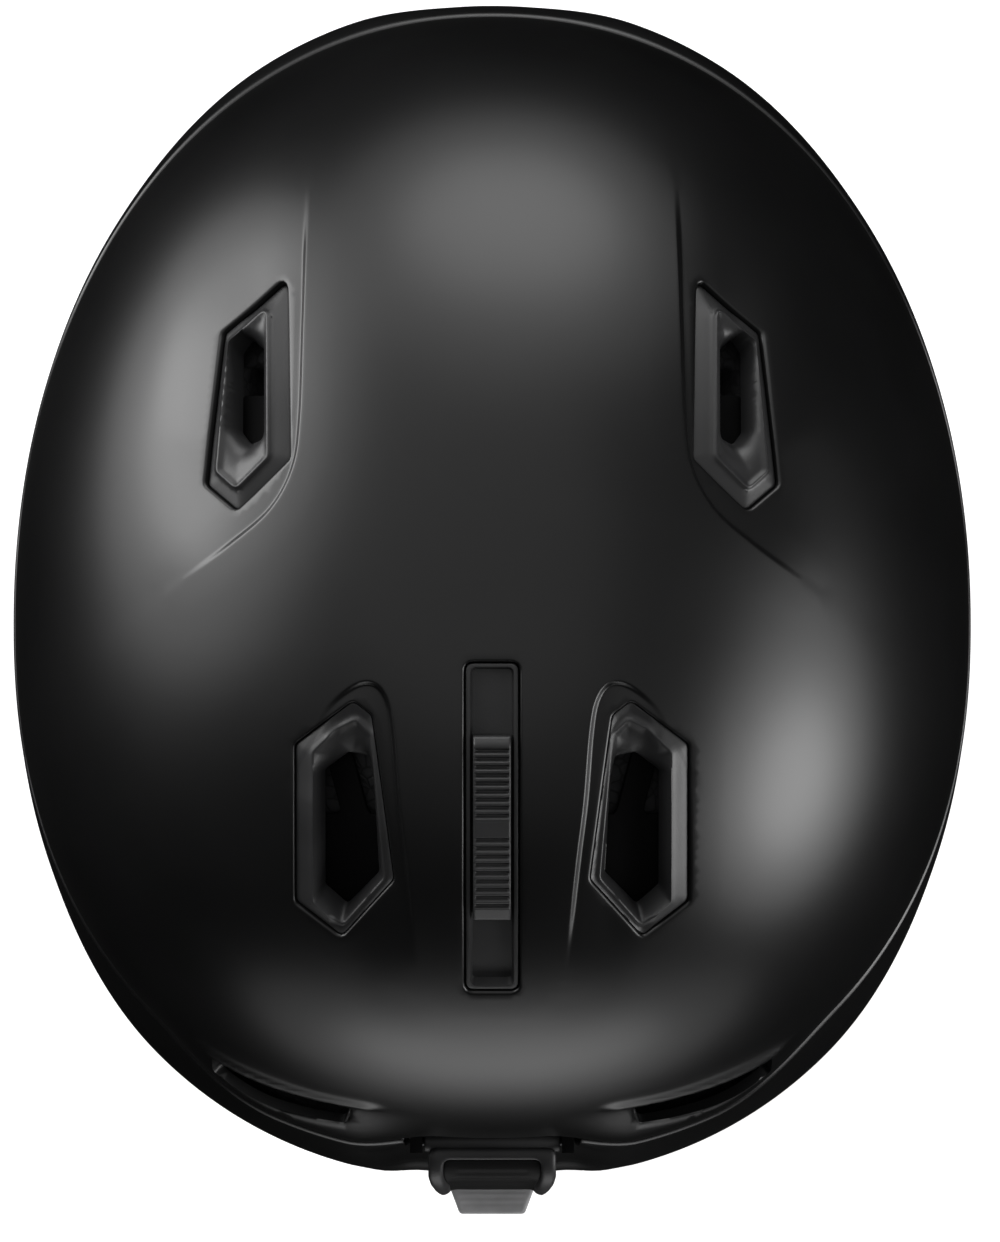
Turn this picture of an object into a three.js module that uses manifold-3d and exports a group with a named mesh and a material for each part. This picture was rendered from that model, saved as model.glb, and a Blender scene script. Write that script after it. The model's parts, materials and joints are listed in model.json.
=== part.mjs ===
// A ski helmet: two shells, foam liner, sliding vent shutters, goggle-strap retainer, dial fit
// system, comfort pads, ear pads and a chin strap with a side-sliding buckle.
// Millimetres, +Z up. The wearer faces -Y, so the wearer's left is +X.
import * as THREE from 'three';
import { mergeVertices } from 'three/addons/utils/BufferGeometryUtils.js';
import Module from 'manifold-3d';

const wasm = await Module();
wasm.setup();

// ---------------------------------------------------------------- driving dimensions
const CENTRING = 3.24;           // shift along Y that puts the origin under the middle of the helmet
const GAP = 0.4;                 // clearance between neighbouring pieces
const PAD_GAP = 1.3;             // clearance between the foam's facets and the comfort pads
const COLUMNS = 40;              // facets around every bowl and ring
const DOME_ROWS = 9;             // facets from the equator to the crown
const EQUATOR = 120;             // height at which the domes are widest

// Plan outlines are superellipses: one half-width, and a length and a power for front and rear.
const SHELL = {
  centre: 0, front: 147.2, rear: 124.2, half: 115.4, frontPower: 2.11, rearPower: 2.23,
  rise: 112, roundness: 2.15, taper: 0.02,
};
const CAVITY = {
  centre: -8, front: 110, rear: 110, half: 90, frontPower: 2.1, rearPower: 2.1,
  rise: 81, roundness: 2.15, taper: 0.03,
};
const BELT = { front: 150.1, rear: 133.9, half: 116, frontPower: 2.11, rearPower: 2.23 };

const RIM = { front: 106, side: 84, rear: 56 };        // height of the helmet's lower edge
const BELT_HEIGHT = { front: 11, side: 18, rear: 56 }; // height of the lower shell above it
const BELT_STOPS = [0, 0.15, 0.3, 0.65, 0.85, 1];      // rows of the lower shell, from seam to rim
const BELT_STEP = 0.8;           // how far the lower shell's seam edge stands proud of the upper one
const RIM_ROLL = 3;              // how far the rim turns in
const RIM_BEAD = { height: 3, width: 3.6, proud: 0.4 };
const SHELL_WALL = 2.6;

// A shelf flares out of the shell below the exhaust slots, between angles in degrees from the nape.
const SHELF = { reach: 4.4, start: 6, full: 16, fading: 24, end: 42, low: 134, high: 156 };
const LINER_DEPTH = 3.2;         // foam starts this far inside the shell's outer face
const LINER_LIFT = 3;            // foam ends this far above the rim

// Vent openings in plan, for the wearer's left side.
const FRONT_VENT = {
  pocket: [[49.9, -84.3], [65.4, -70.7], [69.5, -33.7], [62, -27.4], [49.1, -40.2]],
  bezel: [[53.5, -74.6], [63.7, -67.8], [66.6, -37], [62, -32.9], [53.3, -41.9]],
  hole: [[54.7, -67], [59.5, -69.5], [61, -66], [61, -49], [58.5, -46], [54.7, -48.5]],
};
const REAR_VENT = {
  pocket: [[33.5, 18.2], [47, 29.1], [47, 65.9], [36.1, 75], [23.7, 61.7], [29.1, 21.8]],
  bezel: [[32, 23.5], [42.9, 29], [42.9, 64.2], [36, 71], [27.1, 61.3], [29.5, 25.5]],
  hole: [[31.5, 36], [41.6, 36], [41.6, 58], [37.5, 60.5], [31, 56.9]],
};
const FRAME_DEPTH = { top: 0.8, ledge: 3, bottom: 7 };
const EXHAUST_SLOT = [[36, 146.5], [66, 138.5], [66, 145], [36, 153]];   // seen from behind
const EXHAUST_POCKET = { plan: [[38, 104], [64, 94], [72, 106], [40, 124]], low: 136, high: 155 };

// Shutters swing about an axis along X that all four vents and the slider share.
const TRACK = {
  half: 6.3, channel: 5.3, front: 9.2, rear: 87.7, wall: 1, top: 0.6, floor: 3.6, bottom: 5.6,
};
const SLIDER = { half: 4.5, front: 26.6, rear: 70.9, proud: 0.9, depth: 2.3 };
const STEM = { half: 1.5, front: 42, rear: 56, depth: 8.5 };
const STEM_TRAVEL = 14;
const SHUTTER_SCREW = { radius: 2.2, height: 1, front: 45, rear: 53 };
const SHUTTER_DEPTH = { top: 8.8, bottom: 10.3, pocket: 12.2 };
const SHUTTER_HALF = [
  [6, 34], [6, 56], [28, 56], [28, 48], [31.5, 48], [53, -31], [51.5, -31], [51.5, -57.5],
  [65, -57.5], [65, -31], [60, -31], [38.5, 48], [44.5, 48], [44.5, 74], [28, 74], [28, 62],
  [6, 62], [6, 66],
];
const SHUTTER_POCKET_HALF = [
  [8, 20], [8, 42], [26.5, 42], [26.5, 34], [30.4, 34], [47.8, -32], [50, -36], [50, -71.5],
  [66.5, -71.5], [66.5, -17], [61.5, -17], [47.2, 34], [47.2, 88], [26.5, 88], [26.5, 76],
  [8, 76], [8, 80],
];

// Goggle-strap retainer on the rear of the lower shell.
const RETAINER = {
  pivotY: 125.2, pivotZ: 108, barrel: 2.6, pin: 1.1, bore: 1.45, barrelHalf: 16.5, pinHalf: 19.6,
  half: 15.5, thickness: 2.6, windowLow: 70.5,
};
const RETAINER_PLAN = [[17.5, 118], [17.5, 129], [15.5, 129.2], [15.5, 133.5], [14.4, 136.3], [12.6, 138.4],
  [12.2, 145]];
const WINDOW_PLAN = [[11.2, 129.5], [11.2, 133.2], [9.2, 136.4], [9.2, 145]];
const TAB = { plan: [[10.9, 135.6], [7.9, 143.6]], low: 62.4, high: 66.6 };
const BRACKET = { half: 20, front: 121.4, back: 123.9, lugs: 128, lugWidth: 3, low: 104, high: 111.3 };
const CATCH = { half: 7, front: 134.3, rear: 136, low: 67.2, high: 71 };
const RETAINER_NOTCH = { half: 20.6, low: 103.5, high: 116 };
const STRAP_RECESS = { depth: 2.7, from: 9, to: 18 };  // hollow in the lower shell behind the retainer

// Dial fit system: arms lie on an arc about a tilted axis behind and beside the head.
const FIT = { y: 0, z: 93, tilt: -28, radius: 84, arm: 2, armHalf: 7 };
const ARM_END = -26;
const RACK = { tip: 3.3, root: 5, back: 7, tooth: 1.2, from: 60, to: 102, firstTooth: -5, lastTooth: 11 };
const PINION = { teeth: 8, tip: 4.9, root: 2.9, shaft: 3 };
const TOOTH_STEP = Math.PI / FIT.radius;               // module 1, as an angle on the arc
const HOUSING = { span: 30, half: 12, inner: 79.6, front: 81.9, back: 86.6, outer: 88.8 };
const KNOB = { radius: 16, start: 90, end: 101, lobes: 20, groove: 0.9, seat: 98, recess: 5 };
const DIAL_SCREW = { radius: 4, from: 98.5, to: 100 };
const ARM_GUIDE = { from: -36, to: -16, inner: 81.4, plate: 85.6, outer: 88.4, half: 9.6, lip: 2.1 };
const NAPE_PAD = { inner: 71, from: 62, to: 118, half: 13 };
const HEIGHT_STRAP = { half: 8, thickness: 2 };

// Comfort pads: a middle and a span in degrees from +X, and two heights.
const BROW_PAD = { middle: -90, span: 100, low: 111, high: 132, thickness: 7, columns: 8, rows: 2 };
const SIDE_PAD = { middle: 0, span: 64, low: 127, high: 160, thickness: 8, columns: 5, rows: 3 };
const REAR_PAD = { middle: 90, span: 64, low: 96, high: 136, thickness: 9, columns: 5, rows: 3 };
const CROWN_PAD = { width: 44, length: 112, thickness: 8 };

// Ear pads stand on the floor when the helmet is put down.
const EAR_PAD = {
  topFront: -58, topRear: 72, bottomFront: -28, bottomRear: 44,
  thickness: 17, topOuter: 9.9, bottomOuter: 101, lift: 0.4, middle: 105,
};
const EAR_PAD_SNAP = { x: 97, front: -10, rear: 24, radius: 5, height: 1.8 };

// Chin strap, buckled and lying between the ear pads.
const STRAP = { front: -12, width: 20, thickness: 2, x: 80.2, z: 4.4, bend: 9, top: 125 };
const BUCKLE = { low: 0.6, high: 8.9, front: -14, width: 24 };
const LEFT_STRAP_END = 62.4;
const RIGHT_STRAP_END = -21.6;
const CHIN_PAD = { left: -32, right: 14, front: -19, rear: 15, low: 5.8, high: 13 };
const ADJUSTER = { from: -52, to: -40, wall: 2 };
const KEEPER = { from: -64, to: -58, wall: 1.6 };

// ---------------------------------------------------------------- helper shapes
const { smoothstep, degToRad, radToDeg, clamp, lerp } = THREE.MathUtils;
const SIDE_VIEW = new THREE.Matrix4().makeBasis(
  new THREE.Vector3(0, 1, 0), new THREE.Vector3(0, 0, 1), new THREE.Vector3(1, 0, 0));
const FRONT_VIEW = new THREE.Matrix4().makeBasis(
  new THREE.Vector3(1, 0, 0), new THREE.Vector3(0, 0, 1), new THREE.Vector3(0, -1, 0));

// Vertices shared, flat triangles dropped and every face pointing out.
function cleaned(geometry) {
  const plain = geometry.clone();
  plain.deleteAttribute('normal');
  plain.deleteAttribute('uv');
  const merged = mergeVertices(plain, 1e-4);
  const corners = [];
  const index = merged.index.array;
  for (let i = 0; i < index.length; i += 3) {
    const [a, b, c] = [index[i], index[i + 1], index[i + 2]];
    if (a !== b && b !== c && c !== a) corners.push(a, b, c);
  }
  merged.setIndex(signedVolume(merged, corners) < 0 ? corners.reverse() : corners);
  return merged;
}

function signedVolume(geometry, corners) {
  const spots = geometry.attributes.position;
  const point = (i) => new THREE.Vector3().fromBufferAttribute(spots, i);
  let volume = 0;
  for (let i = 0; i < corners.length; i += 3) {
    const [a, b, c] = [point(corners[i]), point(corners[i + 1]), point(corners[i + 2])];
    volume += a.dot(b.cross(c)) / 6;
  }
  return volume;
}

function solid(geometry) {
  const closed = cleaned(geometry);
  return new wasm.Manifold(new wasm.Mesh({
    numProp: 3,
    vertProperties: new Float32Array(closed.attributes.position.array),
    triVerts: new Uint32Array(closed.index.array),
  }));
}

function geometryOf(body) {
  const mesh = body.getMesh();
  const geometry = new THREE.BufferGeometry();
  geometry.setAttribute('position', new THREE.BufferAttribute(mesh.vertProperties, 3));
  geometry.setIndex(new THREE.BufferAttribute(mesh.triVerts, 1));
  return geometry;
}

function cut(body, ...tools) {
  return tools.reduce((left, tool) => left.subtract(tool), body);
}

function joined(...bodies) {
  return bodies.reduce((left, body) => left.add(body));
}

// Moves every vertex of a geometry to place(x, y, z).
function warped(geometry, place) {
  const spots = geometry.attributes.position;
  for (let i = 0; i < spots.count; i += 1) {
    const spot = place(spots.getX(i), spots.getY(i), spots.getZ(i));
    spots.setXYZ(i, spot.x, spot.y, spot.z);
  }
  return cleaned(geometry);
}

// A lathe profile whose points are handed to place(angle, across, up).
function spun(profile, place) {
  const points = profile.map(([across, up]) => new THREE.Vector2(across, up));
  const geometry = new THREE.LatheGeometry(points, COLUMNS);
  geometry.rotateX(Math.PI / 2);
  return warped(geometry, (x, y, z) => place(Math.atan2(y, x), Math.hypot(x, y), z));
}

function shapeOf(points) {
  return new THREE.Shape(points.map(([a, b]) => new THREE.Vector2(a, b)));
}

// A vertical prism over a plan outline.
function prism(points, low = 0, high = 300) {
  const geometry = new THREE.ExtrudeGeometry(shapeOf(points), { depth: high - low, bevelEnabled: false });
  return geometry.translate(0, 0, low);
}

// A (Y, Z) outline carried across X.
function sideSlab(points, from, to) {
  const geometry = new THREE.ExtrudeGeometry(shapeOf(points), { depth: to - from, bevelEnabled: false });
  return geometry.translate(0, 0, from).applyMatrix4(SIDE_VIEW);
}

// An (X, Z) outline carried along Y.
function frontSlab(points, from, to) {
  const geometry = new THREE.ExtrudeGeometry(shapeOf(points), { depth: to - from, bevelEnabled: false });
  return geometry.translate(0, 0, -to).applyMatrix4(FRONT_VIEW);
}

function block(lowX, highX, lowY, highY, lowZ, highZ) {
  const geometry = new THREE.BoxGeometry(highX - lowX, highY - lowY, highZ - lowZ);
  return geometry.translate((lowX + highX) / 2, (lowY + highY) / 2, (lowZ + highZ) / 2);
}

// A cylinder along X, centred at (y, z).
function crossRod(radius, from, to, y, z, sides = 12) {
  const rod = new THREE.CylinderGeometry(radius, radius, to - from, sides);
  return rod.rotateZ(Math.PI / 2).translate((from + to) / 2, y, z);
}

// A flat band of even thickness along a plane curve, as an outline.
function ribbon(curve, thickness, steps) {
  const near = [];
  const far = [];
  for (let i = 0; i <= steps; i += 1) {
    const spot = curve.getPoint(i / steps);
    const along = curve.getTangent(i / steps);
    near.push([spot.x - along.y * thickness / 2, spot.y + along.x * thickness / 2]);
    far.push([spot.x + along.y * thickness / 2, spot.y - along.x * thickness / 2]);
  }
  return [...near, ...far.reverse()];
}

function mirrored(points) {
  return points.map(([x, y]) => [-x, y]);
}

// An outline drawn for +X, closed by its mirror image.
function bothHalves(points) {
  return [...points, ...mirrored(points).reverse()];
}

// An outline moved outward from its middle.
function grown(points, margin) {
  const middleX = points.reduce((sum, point) => sum + point[0], 0) / points.length;
  const middleY = points.reduce((sum, point) => sum + point[1], 0) / points.length;
  return points.map(([x, y]) => {
    const reach = Math.hypot(x - middleX, y - middleY);
    const scale = (reach + margin) / reach;
    return [middleX + (x - middleX) * scale, middleY + (y - middleY) * scale];
  });
}

// ---------------------------------------------------------------- helmet surfaces
function outline(dome, angle) {
  const isFront = Math.sin(angle) < 0;
  const length = isFront ? dome.front : dome.rear;
  const power = isFront ? dome.frontPower : dome.rearPower;
  const across = (Math.abs(Math.cos(angle)) / dome.half) ** power;
  const along = (Math.abs(Math.sin(angle)) / length) ** power;
  return (across + along) ** (-1 / power);
}

// Degrees away from straight ahead: 0 at the brow and 180 at the nape.
function turnFromFront(angle) {
  return radToDeg(Math.acos(clamp(-Math.sin(angle), -1, 1)));
}

function rimHeight(angle) {
  const turn = turnFromFront(angle);
  const toSide = (RIM.side - RIM.front) * smoothstep(turn, 45, 80);
  const toRear = (RIM.rear - RIM.side) * smoothstep(turn, 108, 155);
  return RIM.front + toSide + toRear;
}

function seamHeight(angle) {
  const turn = turnFromFront(angle);
  const toSide = (BELT_HEIGHT.side - BELT_HEIGHT.front) * smoothstep(turn, 40, 85);
  const toRear = (BELT_HEIGHT.rear - BELT_HEIGHT.side) * smoothstep(turn, 105, 155);
  return rimHeight(angle) + BELT_HEIGHT.front + toSide + toRear;
}

// The shelf under the exhaust slots is in the shells only, not in the foam.
function shelf(dome, angle, height, depth) {
  if (dome !== SHELL || depth > SHELL_WALL) return 0;
  const turn = 180 - turnFromFront(angle);
  const starting = smoothstep(turn, SHELF.start, SHELF.full);
  const fading = 1 - smoothstep(turn, SHELF.fading, SHELF.end);
  return SHELF.reach * starting * fading * (1 - smoothstep(height, SHELF.low, SHELF.high));
}

function reachAt(dome, angle, height, depth) {
  const widest = outline(dome, angle) - depth;
  const flare = shelf(dome, angle, height, depth);
  if (height <= EQUATOR) return widest * (1 - dome.taper * ((EQUATOR - height) / 60) ** 2) + flare;
  const climb = Math.min((height - EQUATOR) / (dome.rise - depth), 1);
  return widest * (1 - climb ** dome.roundness) ** (1 / dome.roundness) + flare;
}

function placeAround(dome, angle, reach, height) {
  return new THREE.Vector3(reach * Math.cos(angle), dome.centre + reach * Math.sin(angle), height);
}

// Height of a dome over a plan point.
function heightOver(dome, x, y, depth) {
  const along = y - dome.centre;
  const share = Math.hypot(x, along) / (outline(dome, Math.atan2(along, x)) - depth);
  const left = Math.max(1 - share ** dome.roundness, 0);
  return EQUATOR + (dome.rise - depth) * left ** (1 / dome.roundness);
}

// Along a dome, 0 is the crown, 1 is the equator and 2 is the lower edge.
function skinPoint(dome, angle, along, depth, edge) {
  if (along > 1) {
    const height = lerp(EQUATOR, edge(angle), along - 1);
    return placeAround(dome, angle, reachAt(dome, angle, height, depth), height);
  }
  const lift = (1 - along) * Math.PI / 2;
  const reach = (outline(dome, angle) - depth) * Math.max(Math.cos(lift), 0) ** (2 / dome.roundness);
  const height = EQUATOR + (dome.rise - depth) * Math.sin(lift) ** (2 / dome.roundness);
  return placeAround(dome, angle, reach + shelf(dome, angle, height, depth), height);
}

// A closed bowl between two skins.
function bowl(outer, outerDepth, inner, innerDepth, edge, wallRows) {
  const stops = [];
  for (let i = 0; i <= DOME_ROWS; i += 1) stops.push(i / DOME_ROWS);
  for (let i = 1; i <= wallRows; i += 1) stops.push(1 + i / wallRows);
  const under = stops.map((stop) => [stop, 0]);
  const over = stops.map((stop) => [stop, 1]).reverse();
  return spun([...under, ...over], (angle, along, layer) => (
    layer > 0.5 ? skinPoint(outer, angle, along, outerDepth, edge)
      : skinPoint(inner, angle, along, innerDepth, edge)
  ));
}

// The part of the dome between two depths, used to trim pieces to the shell's curve.
function layer(top, bottom) {
  return solid(bowl(SHELL, top, SHELL, bottom, () => EQUATOR - 8, 1));
}

// Places a geometry, drawn about +Z, square to the shell over a plan point.
function seated(geometry, x, y, depth) {
  const step = 0.5;
  const slopeX = (heightOver(SHELL, x + step, y, depth) - heightOver(SHELL, x - step, y, depth)) / 2 / step;
  const slopeY = (heightOver(SHELL, x, y + step, depth) - heightOver(SHELL, x, y - step, depth)) / 2 / step;
  const normal = new THREE.Vector3(-slopeX, -slopeY, 1).normalize();
  const turn = new THREE.Quaternion().setFromUnitVectors(new THREE.Vector3(0, 0, 1), normal);
  return geometry.applyQuaternion(turn).translate(x, y, heightOver(SHELL, x, y, depth));
}

// ---------------------------------------------------------------- materials and assembly
const MATERIALS = {
  shell: { color: 0x1b1b1c, roughness: 0.42, metalness: 0 },
  trim: { color: 0x151515, roughness: 0.75, metalness: 0 },
  insert: { color: 0x232425, roughness: 0.55, metalness: 0 },
  grip: { color: 0x2c2d2e, roughness: 0.6, metalness: 0 },
  tab: { color: 0x5b5c5d, roughness: 0.7, metalness: 0 },
  foam: { color: 0x101011, roughness: 0.9, metalness: 0 },
  fabric: { color: 0x26272a, roughness: 0.95, metalness: 0 },
  webbing: { color: 0x161617, roughness: 0.85, metalness: 0 },
  metal: { color: 0x9a9b9d, roughness: 0.35, metalness: 1 },
};
const helmet = new THREE.Group();
const fitSystem = new THREE.Group();
fitSystem.position.set(0, FIT.y, FIT.z);
fitSystem.rotation.x = degToRad(FIT.tilt);
helmet.add(fitSystem);

function addPiece(name, shape, look, group = helmet) {
  const geometry = shape.isBufferGeometry ? cleaned(shape) : geometryOf(shape);
  const mesh = new THREE.Mesh(geometry, new THREE.MeshStandardMaterial(MATERIALS[look]));
  mesh.name = name;
  group.add(mesh);
}

// Adds a piece drawn for the wearer's left side, and its mirror image.
function addPair(name, makeShape, look, group = helmet) {
  const left = makeShape();
  const shape = left.isBufferGeometry ? left : geometryOf(left);
  addPiece(`${name}_left`, shape, look, group);
  addPiece(`${name}_right`, shape.clone().scale(-1, 1, 1), look, group);
}

// ---------------------------------------------------------------- shells and liner
function exhaustSlots() {
  return [EXHAUST_SLOT, mirrored(EXHAUST_SLOT)].map((edge) => solid(frontSlab(edge, 85, 130)));
}

function ventCutters(outlineName, margin) {
  return [FRONT_VENT, REAR_VENT].flatMap((vent) => {
    const edge = grown(vent[outlineName], margin);
    return [solid(prism(edge)), solid(prism(mirrored(edge)))];
  });
}

function trackOutline(half, inset) {
  return bothHalves([[half, TRACK.front + inset], [half, TRACK.rear - inset]]);
}

function upperShell() {
  const dome = solid(bowl(SHELL, 0, SHELL, SHELL_WALL, seamHeight, 1));
  const track = solid(prism(trackOutline(TRACK.half + GAP, -GAP)));
  return cut(dome, track, ...ventCutters('pocket', GAP), ...exhaustSlots());
}

// The lower shell flares out from the seam, then rolls in to the rim over the last part of its height.
function beltReach(angle, down) {
  const widest = 0.7;
  const top = outline(SHELL, angle) + shelf(SHELL, angle, EQUATOR, 0) + BELT_STEP;
  const flare = Math.sin(Math.min(down / widest, 1) * Math.PI / 2);
  const roll = RIM_ROLL * Math.max(0, (down - widest) / (1 - widest)) ** 2;
  const nape = 1 - smoothstep(180 - turnFromFront(angle), STRAP_RECESS.from, STRAP_RECESS.to);
  const middle = smoothstep(down, 0, 0.15) * (1 - smoothstep(down, 0.65, 0.8));
  return top + (outline(BELT, angle) - top) * flare - roll - STRAP_RECESS.depth * nape * middle;
}

function lowerShell() {
  const outer = BELT_STOPS.map((stop) => [6, -stop]).reverse();
  const inner = BELT_STOPS.map((stop) => [5, -stop]);
  const ring = spun([...outer, ...inner, outer[0]], (angle, across, up) => {
    const seam = seamHeight(angle);
    const height = lerp(seam, rimHeight(angle), -up) - GAP * (1 + up);
    const reach = beltReach(angle, -up) - (across < 5.5 ? SHELL_WALL : 0);
    return placeAround(SHELL, angle, reach, height);
  });
  const { half, low, high } = RETAINER_NOTCH;
  return cut(solid(ring), solid(block(-half, half, 110, 145, low, high)));
}

// A soft bead under the rim of the lower shell.
function rimTrim() {
  const corners = [[5, 0], [5, -1], [6, -1], [6, 0], [5, 0]];
  return spun(corners, (angle, across, up) => {
    const reach = beltReach(angle, 1) + RIM_BEAD.proud - (across < 5.5 ? RIM_BEAD.width : 0);
    const height = rimHeight(angle) - GAP + up * RIM_BEAD.height;
    return placeAround(SHELL, angle, reach, height);
  });
}

function linerFoam() {
  const edge = (angle) => rimHeight(angle) + LINER_LIFT;
  const foam = solid(bowl(SHELL, LINER_DEPTH, CAVITY, 0, edge, 2));
  const mechanism = solid(prism(bothHalves(SHUTTER_POCKET_HALF))).intersect(
    layer(LINER_DEPTH - 2, SHUTTER_DEPTH.pocket));
  const shallow = layer(LINER_DEPTH - 2, FRAME_DEPTH.bottom + 0.6);
  const seats = ventCutters('pocket', 1).map((seat) => seat.intersect(shallow));
  const track = solid(prism(trackOutline(TRACK.half + 1, -1))).intersect(shallow);
  const { plan, low, high } = EXHAUST_POCKET;
  const exhaust = [plan, mirrored(plan)].map((edgePoints) => solid(prism(edgePoints, low, high)));
  return cut(foam, mechanism, ...seats, track, ...ventCutters('hole', 0.6), ...exhaust);
}

// ---------------------------------------------------------------- vents
function ventFrame(vent) {
  const { top, ledge, bottom } = FRAME_DEPTH;
  const body = solid(prism(vent.pocket)).intersect(layer(top, bottom));
  const recess = solid(prism(vent.bezel)).intersect(layer(top - 2, ledge));
  return cut(body, recess, solid(prism(vent.hole)));
}

function sliderTrack() {
  const { half, channel, wall, top, floor, bottom } = TRACK;
  const tray = solid(prism(trackOutline(half, 0))).intersect(layer(top, bottom));
  const recess = solid(prism(trackOutline(channel, wall))).intersect(layer(top - 2, floor));
  const slot = bothHalves([
    [STEM.half + GAP, STEM.front - STEM_TRAVEL], [STEM.half + GAP, STEM.rear + STEM_TRAVEL]]);
  return cut(tray, recess, solid(prism(slot)));
}

function ventSlider() {
  const button = bothHalves([[SLIDER.half, SLIDER.front], [SLIDER.half, SLIDER.rear]]);
  const stem = bothHalves([[STEM.half, STEM.front], [STEM.half, STEM.rear]]);
  return joined(
    solid(prism(button)).intersect(layer(-SLIDER.proud, SLIDER.depth)),
    solid(prism(stem)).intersect(layer(SLIDER.depth - 0.2, STEM.depth)));
}

function shutterPlate() {
  const { top, bottom } = SHUTTER_DEPTH;
  return solid(prism(bothHalves(SHUTTER_HALF))).intersect(layer(top, bottom));
}

function shutterScrew(y) {
  const { radius, height } = SHUTTER_SCREW;
  const head = new THREE.CylinderGeometry(radius, radius, height, 10).rotateX(Math.PI / 2);
  return seated(head, 0, y, SHUTTER_DEPTH.bottom + GAP + height / 2 + 0.1);
}

// ---------------------------------------------------------------- goggle-strap retainer
const RETAINER_CURVE = new THREE.CubicBezierCurve(
  new THREE.Vector2(126.6, 109.2), new THREE.Vector2(137, 110.5),
  new THREE.Vector2(138.9, 95), new THREE.Vector2(137.6, 67.2));

// A plate on the lower shell with two lugs that hold the retainer's pin.
function retainerBracket() {
  const { half, front, back, lugs, lugWidth, low, high } = BRACKET;
  const { barrel, barrelHalf, bore, pivotY, pivotZ } = RETAINER;
  const plate = solid(block(-half, half, front, back, low, high));
  const outside = half - 0.1;
  const rightLug = solid(block(-outside, -outside + lugWidth, back - 0.2, lugs, low, high));
  const leftLug = solid(block(outside - lugWidth, outside, back - 0.2, lugs, low, high));
  const hollow = solid(crossRod(barrel + 0.6, -barrelHalf - 0.3, barrelHalf + 0.3, pivotY, pivotZ));
  return cut(joined(plate, rightLug, leftLug), solid(crossRod(bore, -25, 25, pivotY, pivotZ)), hollow);
}

function retainerPin() {
  const { pin, pinHalf, pivotY, pivotZ } = RETAINER;
  return crossRod(pin, -pinHalf, pinHalf, pivotY, pivotZ, 10);
}

// The frame hangs from its barrel, narrows to the tab and has a window for the web.
function retainerClip() {
  const { half, barrelHalf, windowLow, thickness, barrel, bore, pivotY, pivotZ } = RETAINER;
  const band = solid(sideSlab(ribbon(RETAINER_CURVE, thickness, 9), -half, half));
  const frame = band.intersect(solid(prism(bothHalves(RETAINER_PLAN))));
  const tube = solid(crossRod(barrel, -barrelHalf, barrelHalf, pivotY, pivotZ));
  return cut(joined(frame, tube),
    solid(crossRod(bore, -30, 30, pivotY, pivotZ)),
    solid(prism(bothHalves(WINDOW_PLAN), windowLow)));
}

function retainerWeb() {
  const { half, windowLow, thickness } = RETAINER;
  const band = solid(sideSlab(ribbon(RETAINER_CURVE, thickness - 0.6, 9), -half, half));
  const inset = WINDOW_PLAN.map(([x, y], i) => [x - GAP, i ? y : y + GAP]);
  return band.intersect(solid(prism(bothHalves(inset), windowLow + GAP)));
}

function retainerTab() {
  return prism(bothHalves(TAB.plan), TAB.low, TAB.high);
}

// A small stop on the lower shell that the retainer snaps over.
function retainerCatch() {
  return block(-CATCH.half, CATCH.half, CATCH.front, CATCH.rear, CATCH.low, CATCH.high);
}

// ---------------------------------------------------------------- dial fit system
// A band on an arc about the fit axis, in degrees from +X, with the nape at 90.
function arcBand(inner, outer, from, to, low, high, steps) {
  const shape = new THREE.Shape();
  shape.absarc(0, 0, outer, degToRad(from), degToRad(to), false);
  shape.absarc(0, 0, inner, degToRad(to), degToRad(from), true);
  shape.closePath();
  const geometry = new THREE.ExtrudeGeometry(shape, {
    depth: high - low, bevelEnabled: false, curveSegments: steps });
  return geometry.translate(0, 0, low);
}

// A cylinder whose axis points out of the nape.
function napeRod(radius, from, to, sides) {
  return new THREE.CylinderGeometry(radius, radius, to - from, sides).translate(0, (from + to) / 2, 0);
}

function rackTooth(angle) {
  const { tip, root, tooth } = RACK;
  const flank = [[-tooth * 0.75, root + 0.3], [-tooth * 0.3, tip]];
  const outlinePoints = [...flank, ...mirrored(flank).reverse()];
  const depth = FIT.arm - 0.2;
  const geometry = new THREE.ExtrudeGeometry(shapeOf(outlinePoints), { depth, bevelEnabled: false });
  geometry.rotateX(Math.PI / 2).translate(0, FIT.radius + FIT.arm / 2 - 0.1, 0);
  return geometry.rotateZ(angle - Math.PI / 2);
}

// The wearer's left arm: a rack over the pinion, and a wide band round to the temple.
function fitArm() {
  const inner = FIT.radius - FIT.arm / 2;
  const outer = FIT.radius + FIT.arm / 2;
  const band = solid(arcBand(inner, outer, ARM_END, RACK.from, -FIT.armHalf, FIT.armHalf, 16));
  const rack = solid(arcBand(inner, outer, RACK.from - 2, RACK.to, RACK.root, RACK.back, 10));
  const teeth = [];
  for (let i = RACK.firstTooth; i <= RACK.lastTooth; i += 1) {
    teeth.push(solid(rackTooth(Math.PI / 2 - (i + 0.5) * TOOTH_STEP)));
  }
  return joined(band, rack, ...teeth);
}

// The right arm is the left one turned half a turn about the dial's axis.
function addFitArms() {
  const left = geometryOf(fitArm());
  addPiece('fit_arm_left', left, 'insert', fitSystem);
  addPiece('fit_arm_right', left.clone().rotateY(Math.PI), 'insert', fitSystem);
}

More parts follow.
